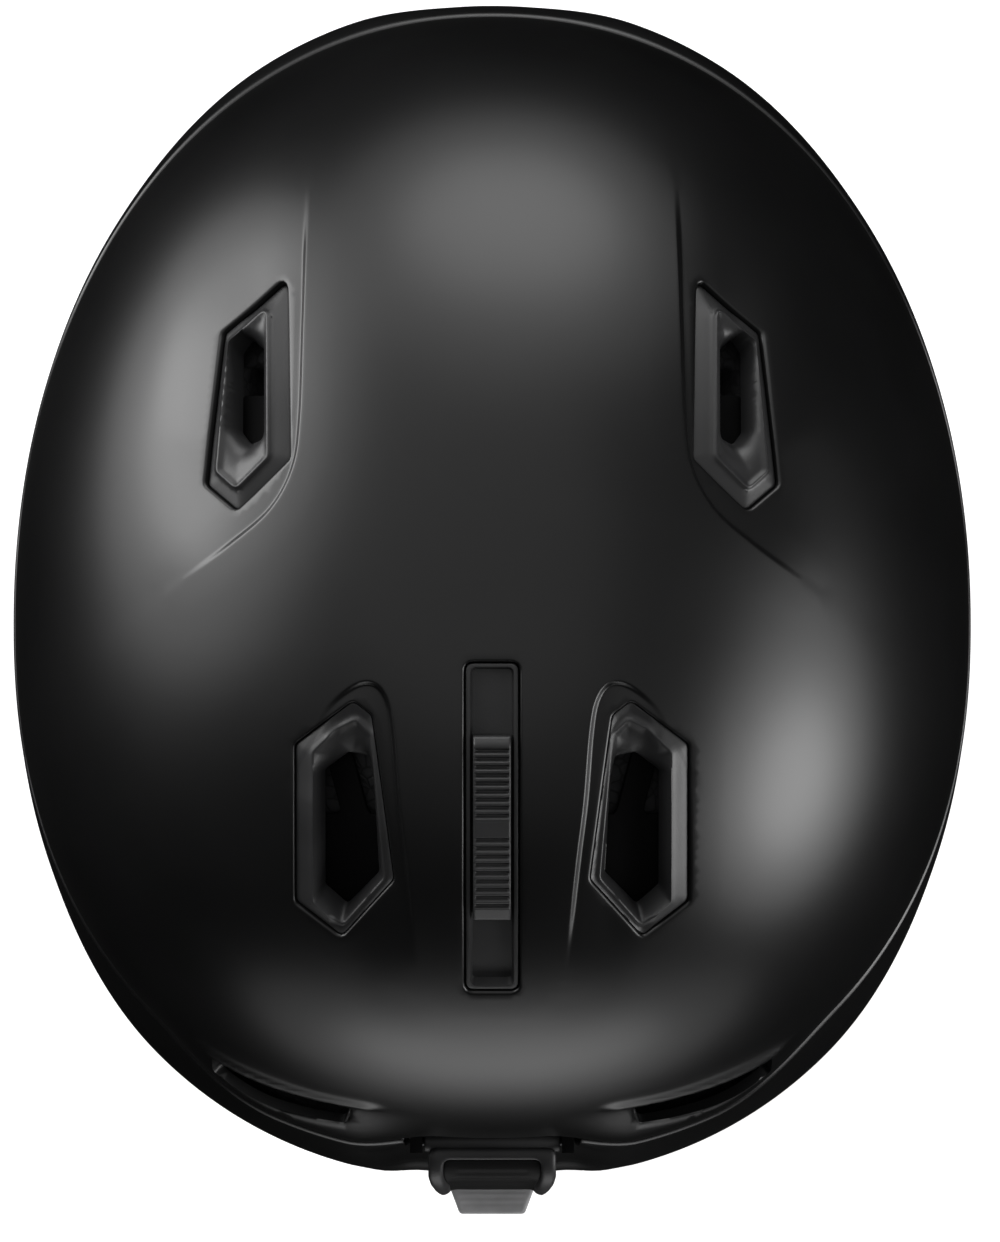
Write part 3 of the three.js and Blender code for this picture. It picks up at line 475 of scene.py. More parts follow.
def rounded_plate(boundary, holes, place, thickness, radius, spacing, depth=0.0):
    """A plate of even thickness with rounded edges, laid on a surface."""
    steps = [radius * share for share in (0.12, 0.4, 1.0)]
    close = [offset(boundary, -step) for step in steps]
    close += [offset(hole, step) for hole in holes for step in steps]

    def drop(points):
        return edge_round(distance_to_loop(points, boundary, *holes), radius)
    return thick(region(boundary, holes, close, spacing=spacing), place,
                 lambda p: depth + drop(p), lambda p: depth + thickness - drop(p))


def quads(rows, columns, close_rows=False, close_columns=False):
    """The faces of a grid of points, which may close on itself in either direction."""
    i, j = np.meshgrid(np.arange(rows - (not close_rows)), np.arange(columns - (not close_columns)),
                       indexing="ij")
    i, j = i.ravel(), j.ravel()
    down, on = (i + 1) % rows, (j + 1) % columns
    return np.column_stack([i * columns + j, i * columns + on, down * columns + on, down * columns + j])


def ring_solid(loops):
    """A closed ring through loops of points, one loop for each point of its cross-section."""
    loops = np.asarray(loops)
    return loops.reshape(-1, 3), quads(*loops.shape[:2], True, True)


def strip_solid(sections):
    """A closed bar through sections (count, points, 3), with flat ends."""
    count, size = sections.shape[:2]
    ends = [range(size)[::-1], range((count - 1) * size, count * size)]
    return sections.reshape(-1, 3), [*quads(count, size, False, True), *ends]


def refined(node, material):
    """A CAD node's shape with its flat faces merged and its edges rounded."""
    bevel, fold_kept, fold_rounded = 0.5, math.radians(1.5), math.radians(35)
    obj = bpy.data.objects.new(node + "_finished", frame["nodes"][node].data.copy())
    bpy.context.scene.collection.objects.link(obj)
    work = bmesh.new()
    work.from_mesh(obj.data)
    bmesh.ops.remove_doubles(work, verts=work.verts, dist=2e-6)
    bmesh.ops.dissolve_limit(work, angle_limit=fold_kept, verts=work.verts, edges=work.edges)
    edges = [e for e in work.edges if e.is_manifold and e.calc_face_angle(0) > fold_rounded]
    bmesh.ops.bevel(work, geom=edges, offset=bevel * MM, offset_type="OFFSET", segments=3, profile=0.5,
                    affect="EDGES", clamp_overlap=True)
    bmesh.ops.triangulate(work, faces=[f for f in work.faces if len(f.verts) > 4])
    bmesh.ops.recalc_face_normals(work, faces=work.faces)
    work.to_mesh(obj.data)
    work.free()
    obj.data.shade_smooth()
    obj.data.set_sharp_from_angle(angle=SOFT_SHARP)
    obj.data.materials.clear()
    obj.data.materials.append(material)
    stand_for(obj, node)


# ------------------------------------------------------------------ materials
class Look:
    """A node material whose patterns, in object coordinates, tint, roughen and emboss it."""

    def __init__(self, name, color, roughness, metallic=0.0, specular=0.5):
        self.material = bpy.data.materials.new(name)
        self.material.use_nodes = True
        self.tree = self.material.node_tree
        self.shader = self.tree.nodes["Principled BSDF"]
        self.set(Base_Color=(*color, 1), Roughness=roughness, Metallic=metallic, Specular_IOR_Level=specular)
        self.space = self.node("ShaderNodeTexCoord").outputs["Object"]
        self.last_normal = None

    def set(self, **values):
        for key, value in values.items():
            self.shader.inputs[key.replace("_", " ")].default_value = value

    def node(self, kind, links=None, inputs=None, **settings):
        made = self.tree.nodes.new(kind)
        for key, value in settings.items():
            setattr(made, key, value)
        for key, value in (inputs or {}).items():
            made.inputs[key].default_value = value
        for key, source in (links or {}).items():
            self.tree.links.new(source, made.inputs[key])
        return made

    def noise(self, scale, detail=3.0, roughness=0.5):
        return self.node("ShaderNodeTexNoise", {"Vector": self.space},
                         {"Scale": scale, "Detail": detail, "Roughness": roughness}).outputs["Fac"]

    def cells(self, scale, feature="F1"):
        return self.node("ShaderNodeTexVoronoi", {"Vector": self.space}, {"Scale": scale},
                         feature=feature).outputs["Distance"]

    def wave(self, direction, scale, vector=None, distortion=0.0, detail=2.0):
        return self.node("ShaderNodeTexWave", {"Vector": vector or self.space},
                         {"Scale": scale, "Distortion": distortion, "Detail": detail},
                         bands_direction=direction).outputs["Fac"]

    def spread(self, source, low, high, to_low, to_high):
        return self.node("ShaderNodeMapRange", {"Value": source}, {
            "From Min": low, "From Max": high, "To Min": to_low, "To Max": to_high}).outputs["Result"]

    def roughen(self, source, low, high):
        """Lets a 0 to 1 pattern move the roughness between two values."""
        self.tree.links.new(self.spread(source, 0.25, 0.75, low, high), self.shader.inputs["Roughness"])

    def tint(self, source, first, second, low=0.3, high=0.7):
        """Lets a pattern move the colour between two colours."""
        ramp = self.node("ShaderNodeValToRGB", {"Fac": source})
        for end, position, color in zip(ramp.color_ramp.elements, (low, high), (first, second)):
            end.position, end.color = position, (*color, 1)
        self.tree.links.new(ramp.outputs["Color"], self.shader.inputs["Base Color"])

    def bump(self, source, distance, strength=1.0):
        """Adds relief of a height in millimetres."""
        made = self.node("ShaderNodeBump", {"Height": source}, {
            "Strength": strength, "Distance": distance * MM})
        if self.last_normal is not None:
            self.tree.links.new(self.last_normal, made.inputs["Normal"])
        self.last_normal = made.outputs["Normal"]
        self.tree.links.new(self.last_normal, self.shader.inputs["Normal"])


def shell_look():
    look = Look("satin_shell", (0.0022, 0.0022, 0.0023), 0.33, specular=0.5)
    look.roughen(look.noise(14, 4, 0.55), 0.31, 0.345)
    look.tint(look.noise(30, 3), (0.0019, 0.0019, 0.0020), (0.0027, 0.0027, 0.0028))
    look.bump(look.noise(2600, 2), 0.012, 0.6)
    look.bump(look.noise(260, 3), 0.010, 0.5)
    return look.material


def scaled(color, factor):
    return tuple(c * factor for c in color)


def moulded_look(name, color, roughness, grain=1500, relief=0.03, specular=0.5):
    look = Look(name, color, roughness, specular=specular)
    look.tint(look.noise(90, 4), color, scaled(color, 1.25))
    look.roughen(look.noise(45, 3), roughness - 0.05, roughness + 0.07)
    look.bump(look.cells(grain), relief, 0.5)
    return look.material


def rubber_look(name, color, roughness, specular=0.35):
    look = Look(name, color, roughness, specular=specular)
    look.tint(look.noise(120, 4), scaled(color, 0.85), scaled(color, 1.15))
    look.roughen(look.noise(60, 4), roughness - 0.08, roughness + 0.06)
    look.bump(look.noise(1900, 3), 0.03, 0.6)
    return look.material


def foam_look():
    """Expanded beads pressed together, each a few millimetres across."""
    look = Look("beaded_foam", (0.012, 0.012, 0.0125), 0.72, specular=0.35)
    edges = look.cells(330, "DISTANCE_TO_EDGE")
    look.tint(edges, (0.006, 0.006, 0.0065), (0.016, 0.016, 0.017), 0.0, 0.12)
    look.roughen(look.cells(330), 0.6, 0.8)
    look.bump(look.spread(edges, 0, 0.12, 0, 1), 0.16, 0.7)
    look.bump(look.noise(1400, 2), 0.03, 0.5)
    return look.material


def knit_look(name, color, scale=620, rows="XYZ"):
    """Warp-knitted fleece over foam: crossed rows of loops under a soft fuzz."""
    look = Look(name, color, 0.92, specular=0.2)
    look.set(Sheen_Weight=0.35, Sheen_Roughness=0.45)
    weave = None
    for direction in rows:
        wave = look.wave(direction, scale, distortion=0.8, detail=1.0)
        weave = wave if weave is None else look.node(
            "ShaderNodeMath", {0: weave, 1: wave}, operation="MULTIPLY").outputs["Value"]
    look.tint(look.noise(700, 3), scaled(color, 0.7), scaled(color, 1.45))
    look.bump(weave, 0.12, 0.6)
    look.bump(look.noise(1300, 3), 0.06, 0.6)
    return look.material


def webbing_look():
    """Woven tape: ribs across the tape and a twill along it, drawn in the tape's own length and width."""
    look = Look("woven_webbing", (0.010, 0.010, 0.0105), 0.62, specular=0.4)
    tape = look.node("ShaderNodeUVMap", uv_map="tape").outputs["UV"]
    twill, ribs = look.wave("DIAGONAL", 0.32, tape), look.wave("X", 0.26, tape)
    look.tint(ribs, (0.007, 0.007, 0.0075), (0.015, 0.015, 0.016), 0.1, 0.9)
    look.bump(ribs, 0.18, 0.8)
    look.bump(twill, 0.10, 0.6)
    look.bump(look.noise(2500, 2), 0.03, 0.5)
    return look.material


def metal_look(name, color):
    look = Look(name, color, 0.3, metallic=1.0)
    look.roughen(look.noise(240, 4), 0.24, 0.4)
    look.bump(look.noise(1800, 2), 0.01, 0.5)
    return look.material


SHELL_PAINT = shell_look()
INSERT = moulded_look("dark_insert", (0.009, 0.009, 0.0094), 0.46)
# Near-black with hardly any specular: painted shade, so the shutter plate deep in the vents and the retainer
# bracket in its slot read as shadow.
MECHANISM_PAINTED_SHADE = moulded_look("mechanism_painted_shade", (0.0015, 0.0015, 0.0016), 0.75, specular=0.06)
FRAME_PLASTIC = moulded_look("vent_frame", (0.010, 0.010, 0.0104), 0.42, 1900, 0.02)
GRIP = moulded_look("grip_plastic", (0.012, 0.012, 0.0125), 0.44, specular=0.42)
TRIM = rubber_look("edge_rubber", (0.010, 0.010, 0.0105), 0.6)
WEB_RUBBER = rubber_look("retainer_rubber", (0.002, 0.002, 0.0021), 0.6, 0.14)
# Light grey: a painted highlight standing in for the light that falls on the tab's top face.
TAB_PAINTED_HIGHLIGHT = rubber_look("tab_rubber", (0.2, 0.2, 0.203), 0.5)
FOAM = foam_look()
KNIT = knit_look("charcoal_fleece", (0.026, 0.026, 0.029))
EAR_KNIT = knit_look("ear_pad_fleece", (0.020, 0.020, 0.022), 540, "YZ")
PIPING = rubber_look("seam_binding", (0.008, 0.008, 0.0085), 0.7)
WEBBING = webbing_look()
STEEL = metal_look("bright_steel", (0.42, 0.42, 0.43))
BLACK_STEEL = metal_look("blackened_steel", (0.03, 0.03, 0.031))


# ------------------------------------------------------------------ relief of the upper shell
FLANK_UNDER = 0.8        # share of the flanks' drop that shows inside the shell and on the vent frames
CREST_SOFT = 0.7         # half the width of a crest's step
CREST_REACH = 90         # how far from its middle, along X or Y, a crest can lower the shell
OPENING_REACH = 60       # and how far from its middle an opening's edge can be
FRONT_CREST = curve_through(FRONT_VENT["crest"])
REAR_CREST = curve_through(REAR_VENT["crest"])


def crest_strength(spots, crest):
    """How strongly a crest's step shows, averaged over the parts of the crest that are about equally near."""
    travel = np.linspace(0, 1, len(crest))
    strength = smoothstep(travel, 0, 0.28) * (1 - smoothstep(travel, 0.72, 1.0))
    result = np.zeros(len(spots))
    for low in range(0, len(spots), BATCH):
        part = slice(low, low + BATCH)
        away = np.hypot(spots[part, None, 0] - crest[None, :, 0], spots[part, None, 1] - crest[None, :, 1])
        weight = np.exp((away.min(1)[:, None] - away) / 2.5)
        result[part] = weight @ strength / weight.sum(1)
    return result


def flank_drop(plan):
    """How far the flanks round the vents lie below the crown: a soft step at the crest, fading away."""
    spots = np.column_stack([np.abs(plan[:, 0]), plan[:, 1]])
    total = np.zeros(len(spots))
    for vent, crest in ((FRONT_VENT, FRONT_CREST), (REAR_VENT, REAR_CREST)):
        near = (np.abs(spots - crest.mean(0)) < CREST_REACH).all(1)
        if not near.any():
            continue
        away, _, _, side = nearest_on(spots[near], crest[:-1], crest[1:])
        signed = np.where(side > 0, away, -away)
        step = smoothstep(signed, -CREST_SOFT, CREST_SOFT) * (1 - smoothstep(signed, *vent["fade"]))
        total[near] += vent["step"] * crest_strength(spots[near], crest) * step
    return total


POCKETS = [rounded(side, 1.6) for vent in (FRONT_VENT, REAR_VENT)
           for side in (vent["pocket"], mirrored(vent["pocket"]))]
TRACK_OUTLINE = rounded(rectangle(TRACK["half"], TRACK["front"], TRACK["rear"]), 1.8)
SLOTS = [rounded(side, 1.8) for side in (EXHAUST, mirrored(EXHAUST))]
LIPS = [curve_through(side) for side in (LIP, mirrored(LIP))]


def lip_rise(rear, lip):
    """A rounded crest along the top of an exhaust slot."""
    height, width, fade = 1.3, 1.5, 0.12
    away, index, place, _ = nearest_on(rear, lip[:-1], lip[1:])
    travel = (index + place) / (len(lip) - 1)
    ends = smoothstep(travel, 0, fade) * (1 - smoothstep(travel, 1 - fade, 1))
    return height * ends * np.exp(-(away / width) ** 2)


def upper_shell():
    seam_radius, opening_radius, slot_radius = 0.9, 0.7, 0.9
    spacing, fine_spacing, near_relief = 2.8, 1.0, 6.0
    turns = full_turn(560)

    def to_map(loop):
        return unfold(SHELL, *loop.T)

    def seam_loop(rise):
        return polar(outline(SHELL, turns) * (1 + (EQUATOR - seam_height(turns) - rise) / WALL_SPAN), turns)
    openings = [*POCKETS, offset(TRACK_OUTLINE, GAP)]
    holes = [to_map(loop) for loop in openings] + [to_map(behind(loop)) for loop in SLOTS]
    rings = [seam_loop(rise) for rise in (0.12, 0.4, 0.9)]
    rings += [to_map(offset(loop, away)) for loop in openings for away in (0.12, 0.35, 0.7)]
    rings += [to_map(behind(offset(loop, away))) for loop in SLOTS for away in (0.12, 0.4, 0.9)]
    lines = []
    for crest in (FRONT_CREST, REAR_CREST):
        along = np.gradient(crest, axis=0)
        across = np.column_stack([along[:, 1], -along[:, 0]]) / np.hypot(*along.T)[:, None]
        for shift in (-2.1, -1.4, -0.9, -0.6, -0.3, 0, 0.3, 0.6, 0.9, 1.4, 2.1):
            line = crest + across * shift
            lines += [to_map(line), to_map(line * [-1, 1])]

    relief = [*openings, FRONT_CREST, REAR_CREST, FRONT_CREST * [-1, 1], REAR_CREST * [-1, 1]]
    tree = tree_of(np.vstack([to_map(np.vstack(relief)), *[to_map(behind(loop)) for loop in LIPS]]))

    def away_from_relief(spots):
        return np.array([tree.find((*spot, 0))[2] for spot in spots])
    edge = seam_loop(0)
    fine = hex_grid(edge, fine_spacing)
    fine = fine[away_from_relief(fine) < near_relief]
    flat = region(edge, holes, rings, lines, spacing,
                  (fine, lambda spots: away_from_relief(spots) >= near_relief))

    def surface(points):
        base = fold(SHELL, *points.T)
        plan, rear = base[:, :2], base[:, [0, 2]]
        angle = np.arctan2(base[:, 1], base[:, 0])
        drop = flank_drop(plan) + edge_round(base[:, 2] - seam_height(angle), seam_radius)
        for loop in openings:
            near = (np.abs(plan - loop.mean(0)) < OPENING_REACH).all(1)
            drop[near] += edge_round(distance_to_loop(plan[near], loop), opening_radius)
        at_rear = (base[:, 1] > 60) & (base[:, 2] < 175)
        for loop, lip in zip(SLOTS, LIPS):
            drop[at_rear] += edge_round(distance_to_loop(rear[at_rear], loop), slot_radius)
            drop[at_rear] -= lip_rise(rear[at_rear], lip)
        return drop

    def under(points):
        return SHELL_WALL + FLANK_UNDER * flank_drop(fold(SHELL, *points.T)[:, :2])
    piece("upper_shell_satin", thick(flat, lambda p, d: place_on_dome(SHELL, p, d), surface, under),
          SHELL_PAINT, "upper_shell", SOFT_SHARP)


# ------------------------------------------------------------------ lower shell and rim
def fuller(angle):
    """How much fuller the lower shell is beside the brow and beside the nape."""
    at_brow, at_nape = 1.1, 1.6
    turn = turn_from_front(angle)
    brow = smoothstep(turn, 3, 13) * (1 - smoothstep(turn, 22, 42))
    nape = smoothstep(180 - turn, 7, 12) * (1 - smoothstep(180 - turn, 38, 62))
    return at_brow * brow + at_nape * nape


def belt_reach(angle, down):
    """Plan reach of the lower shell, from its seam (0) to its rim (1)."""
    ledge, widest, roll_in, nape_hollow = 0.8, 0.7, 3, 2.7
    top = outline(SHELL, angle) + shelf(angle, EQUATOR) + ledge
    flare = np.sin(np.minimum(down / widest, 1) * math.pi / 2)
    roll = roll_in * np.maximum(0, (down - widest) / 0.3) ** 2
    nape = 1 - smoothstep(np.abs(turn_from_front(angle) - 180), 8, 15)
    middle = smoothstep(down, 0.05, 0.2) * (1 - smoothstep(down, 0.62, 0.78))
    return top + (outline(BELT, angle) + fuller(angle) - top) * flare - roll - nape_hollow * nape * middle


def lower_shell():
    """A belt from seam to rim; the retainer's bracket sits in a notch at the rear of its top edge."""
    notch_half, notch_low, edge_radius = 20.6, 103.5, 0.9
    notch = math.atan2(notch_half, SHELL["rear"])
    extra = [math.pi / 2 + side * (notch + shift) for side in (-1, 1)
             for shift in (-0.008, -0.004, -0.001, 0.001, 0.004, 0.008)]
    angles = np.sort(np.concatenate([full_turn(420), extra]))
    in_notch = 1 - smoothstep(np.abs(angles - math.pi / 2), notch - 0.006, notch + 0.006)
    seam, rim = seam_height(angles), rim_height(angles)
    start = np.maximum((seam - notch_low) / (seam - rim), 0) * in_notch
    stops = np.concatenate([[0, 0.012, 0.03, 0.06], np.linspace(0.1, 0.94, 26), [0.97, 0.985, 1.0]])

    def skin(stop, inner):
        down = start + (1 - start) * stop
        height = seam + (rim - seam) * down - GAP * (1 - down)
        drop = edge_round(np.minimum(stop * (1 - start), (1 - stop)) * (seam - rim), edge_radius)
        reach = belt_reach(angles, down) + (drop - SHELL_WALL if inner else -drop)
        return np.column_stack([polar(reach, angles), height])
    loops = [skin(stop, False) for stop in stops] + [skin(stop, True) for stop in stops[::-1]]
    piece("lower_shell_satin", ring_solid(loops), SHELL_PAINT, "lower_shell", SOFT_SHARP)


def rim_trim():
    angles = full_turn(360)
    reach, rim = belt_reach(angles, np.ones(len(angles))), rim_height(angles)
    half_width, half_height, inward, square = 1.8, 1.5, 1.4, 0.6
    loops = []
    for turn in full_turn(20):
        ring = reach - inward + half_width * flattened(math.cos(turn), square)
        height = rim - GAP - half_height + half_height * flattened(math.sin(turn), square)
        loops.append(np.column_stack([polar(ring, angles), height]))
    piece("rim_trim_bead", ring_solid(loops), TRIM, "rim_trim")


def liner_foam():
    """Foam between the shell and the head, with vents that lead inwards and grooves between the pads."""
    turns = full_turn(360)
    above_rim, edge_radius = 3, 2.0
    crown_depth, wall_rise, slot_depth, channel_depth = 12.4, 9.4, 5, 4.5
    edge = polar(outline(SHELL, turns) * (1 + (EQUATOR - rim_height(turns) - above_rim) / WALL_SPAN), turns)
    holes = [unfold(SHELL, *rounded(vent["foam_hole"], 1.2, 1.6).T) for vent in (FRONT_VENT, REAR_VENT)]
    holes += [(hole * [-1, 1])[::-1] for hole in holes]
    rings = [edge * (1 - inset / 120) for inset in (0.3, 0.9, 2.0)]
    rings += [offset(hole, away) for hole in holes for away in (0.4, 1.2)]
    flat = region(edge, holes, rings, spacing=3.4)

    def edges(points):
        return edge_round(distance_to_loop(points, edge, *holes), edge_radius)

    def outside(points):
        share = np.hypot(*points.T) / outline(SHELL, np.arctan2(points[:, 1], points[:, 0]))
        x, y, z = fold(SHELL, *points.T).T
        at_slot = smoothstep(y, 85, 95) * smoothstep(np.abs(x), 20, 30)
        at_slot *= smoothstep(z, 126, 136) * (1 - smoothstep(z, 158, 166))
        depth = crown_depth - wall_rise * smoothstep(share, 0.72, 0.92) + slot_depth * at_slot
        return depth + edges(points)

    def channel(points):
        """Air channels that run front to rear and link the vents."""
        u, v = np.abs(points[:, 0]), points[:, 1]
        width = 1 - smoothstep(np.abs(u - 46 + 0.17 * v), 3.5, 8.0)
        return channel_depth * width * smoothstep(v, -105, -85) * (1 - smoothstep(v, 78, 98))

    def place(points, depth):
        """The outer skin has a depth under the shell; the inner skin, with none, follows the cavity."""
        if depth is not None:
            return place_on_dome(SHELL, points, depth)
        angle = np.arctan2(points[:, 1], points[:, 0])
        inner = points * (outline(CAVITY, angle) / outline(SHELL, angle))[:, None]
        return place_on_dome(CAVITY, inner, -channel(points) - edges(points))
    piece("liner_foam_moulded", thick(flat, place, outside, lambda _: None), FOAM,
          "liner_foam", SOFT_SHARP)


# ------------------------------------------------------------------ vents and their slider
def vent_frame(vent, node, side):
    turn = (lambda points: points) if side > 0 else mirrored
    boundary = offset(rounded(turn(vent["pocket"]), 1.6), -0.12)
    bezel = rounded(turn(vent["bezel"]), 1.2, 0.7)
    hole = rounded(turn(vent["hole"]), 0.9, 0.7)
    rings = [offset(boundary, -away) for away in (0.12, 0.4)]
    rings += [offset(bezel, away) for away in (-0.3, 0, 0.3, 0.6, 1.0)]
    rings += [offset(hole, 0.3)]

    def top(points):
        from_pocket, from_bezel, from_hole = [distance_to_loop(points, loop)
                                              for loop in (boundary, bezel, hole)]
        outer = from_bezel / (from_bezel + from_pocket + 1e-6)
        inner = from_bezel / (from_bezel + from_hole + 1e-6)
        flank = smoothstep(np.abs(points[:, 0]), vent["turn"] - 2, vent["turn"] + 2)
        ledge = vent["ledge"] + (vent["outer_ledge"] - vent["ledge"]) * flank
        edge = vent["edge"] + (vent["outer_edge"] - vent["edge"]) * flank
        slope = np.where(inside(points, bezel), ledge + (vent["hole_depth"] - ledge) * inner ** vent["dish"],
                         ledge + (edge - ledge) * outer ** 1.2)
        bead = np.minimum(1.0, ledge + 0.1) * np.exp(-(from_bezel / vent["bead"]) ** 2)
        edges = edge_round(from_pocket, 0.25) + edge_round(from_hole, 0.3)
        return np.minimum(FLANK_UNDER * flank_drop(points) + slope - bead + edges, FRAME_BOTTOM - 0.3)
    solid = thick(region(boundary, [hole], rings, spacing=0.65), place_on_shell, top, FRAME_BOTTOM)
    piece(node + "_bezel", solid, FRAME_PLASTIC, node, FINE_SHARP)


def slider_track():
    boundary, wall, rim = TRACK_OUTLINE, TRACK["wall"], TRACK["rim"]
    channel = rounded(rectangle(TRACK["channel"], TRACK["front"] + wall, TRACK["rear"] - wall), 1.5, 0.7)
    slot = rounded(rectangle(*SLOT_IN_TRACK.values()), 1.5, 0.7)
    rings = [offset(boundary, -away) for away in (0.1, 0.3)]
    rings += [offset(channel, away) for away in (-0.9, -0.55, -0.3, 0, 0.15)]

    def top(points):
        away = distance_to_loop(points, channel)
        signed = np.where(inside(points, channel), away, -away)
        edge = edge_round(distance_to_loop(points, boundary), 0.3)
        return rim + edge + (TRACK["floor"] - rim) * smoothstep(signed, -0.05, 0.6)
    solid = thick(region(boundary, [slot], rings, spacing=1.2), place_on_shell, top, TRACK["bottom"])
    piece("slider_track_tray", solid, INSERT, "slider_track", FINE_SHARP)


def vent_slider():
    """Two groups of ribs with a plain saddle between them, and a bevel at each end."""
    half, front, rear = SLIDER["half"], SLIDER["front"], SLIDER["rear"]
    margin, saddle_half, rib_power = 2.4, 1.7, 1.3
    bevel, bevel_depth, dish_depth, dish_length, edge_radius = 3.4, 1.2, 0.45, 9, 0.55
    near_edge = np.array([0, 0.1, 0.3, 0.6])
    xs = np.concatenate([near_edge - half, np.linspace(-half + 0.9, half - 0.9, 13), half - near_edge[::-1]])
    ys = np.concatenate([front + near_edge[:3], np.arange(front + 0.6, rear - 0.5, 0.15),
                         rear - near_edge[2::-1]])
    x, y = [part.ravel() for part in np.meshgrid(xs, ys, indexing="ij")]
    from_middle = y - (front + rear) / 2
    ribbed = smoothstep(half - 0.35 - np.abs(x), 0, 0.3) * smoothstep(y, front + margin, front + margin + 0.3)
    ribbed *= 1 - smoothstep(y, rear - 3.6, rear - 3.2)
    ribbed *= smoothstep(np.abs(from_middle), saddle_half, saddle_half + 0.5)
    groove = ripple(y - front - margin, SLIDER["rib_pitch"]) ** rib_power * ribbed
    ends = bevel_depth * np.clip((y - rear + bevel) / bevel, 0, 1)
    ends = ends + 1 - smoothstep(y, front - 0.4, front + 2.2)
    dish = dish_depth * np.exp(-(from_middle / dish_length) ** 2)
    edges = edge_round(np.minimum.reduce([half - np.abs(x), y - front, rear - y]), edge_radius)
    flat = np.column_stack([x, y]), quads(len(xs), len(ys))
    solid = thick(flat, place_on_shell, lambda _: edges + groove + ends + dish - SLIDER["proud"],
                  SLIDER["bottom"])
    piece("vent_slider_ribbed", solid, GRIP, "vent_slider", FINE_SHARP)


def shutter_plate():
    solid = rounded_plate(rounded(both_halves(SHUTTER), 1.2, 1.6), [], place_on_shell,
                          thickness=1.5, radius=0.4, spacing=3.5, depth=8.8)
    # Its near-black material is painted shade for the inside of the vents.
    piece("shutter_plate_moulded", solid, MECHANISM_PAINTED_SHADE, "shutter_plate")


# ------------------------------------------------------------------ goggle-strap retainer
# (Y, Z) knots of the curve that the middle of its thickness follows, from the hinge down.
RETAINER_KNOTS = np.array([(126.6, 109.2), (137, 110.5), (138.9, 95), (137.6, 67.2)])
RETAINER_HALF = 15.5
RETAINER_THICKNESS = 2.6
RETAINER_HOLLOW = 1.5    # how far the strap lies back between its arms


def bezier(knots, t):
    t = np.asarray(t, float)[..., None]
    a, b, c, d = knots
    spot = (1 - t) ** 3 * a + 3 * (1 - t) ** 2 * t * b + 3 * (1 - t) * t ** 2 * c + t ** 3 * d
    along = 3 * (1 - t) ** 2 * (b - a) + 6 * (1 - t) * t * (c - b) + 3 * t ** 2 * (d - c)
    return spot, along / np.linalg.norm(along, axis=-1)[..., None]


RETAINER_T = np.linspace(0, 1, 200)
RETAINER_SPOTS = bezier(RETAINER_KNOTS, RETAINER_T)[0]
RETAINER_TRAVEL = travelled(RETAINER_SPOTS)
RETAINER_LENGTH = RETAINER_TRAVEL[-1]


def place_on_retainer(points, depth):
    """(X, travel down the retainer) points; the strap is hollow between its arms, which wrap in."""
    x, travel = points.T
    hollow = RETAINER_HOLLOW * (1 - smoothstep(np.abs(x), 8.5, 12.5)) * smoothstep(travel, 8, 14)
    depth = np.asarray(depth) + hollow * (1 - np.asarray(depth) / RETAINER_THICKNESS)
    spot, along = bezier(RETAINER_KNOTS, np.interp(travel, RETAINER_TRAVEL, RETAINER_T))
    outward = np.column_stack([-along[:, 1], along[:, 0]])
    wrap = 1.6 * (np.abs(x) / RETAINER_HALF) ** 5 * smoothstep(travel, 8, 24)
    spot = spot + outward * (RETAINER_THICKNESS / 2 - depth - wrap)[:, None]
    return np.column_stack([x, spot])


def travel_at(height):
    """How far down the retainer its strap comes to a height, past its shoulder."""
    past_top = RETAINER_SPOTS[:, 1].argmax()
    return np.interp(-height, -RETAINER_SPOTS[past_top:, 1], RETAINER_TRAVEL[past_top:])


def travel_to(rearward):
    """How far down the retainer its strap first reaches a place along Y."""
    bulge = RETAINER_SPOTS[:, 0].argmax()
    return np.interp(rearward, RETAINER_SPOTS[:bulge, 0], RETAINER_TRAVEL[:bulge])


def ridge_lines(half, count, places):
    return [np.column_stack([np.linspace(-half, half, count), np.full(count, y)]) for y in places]


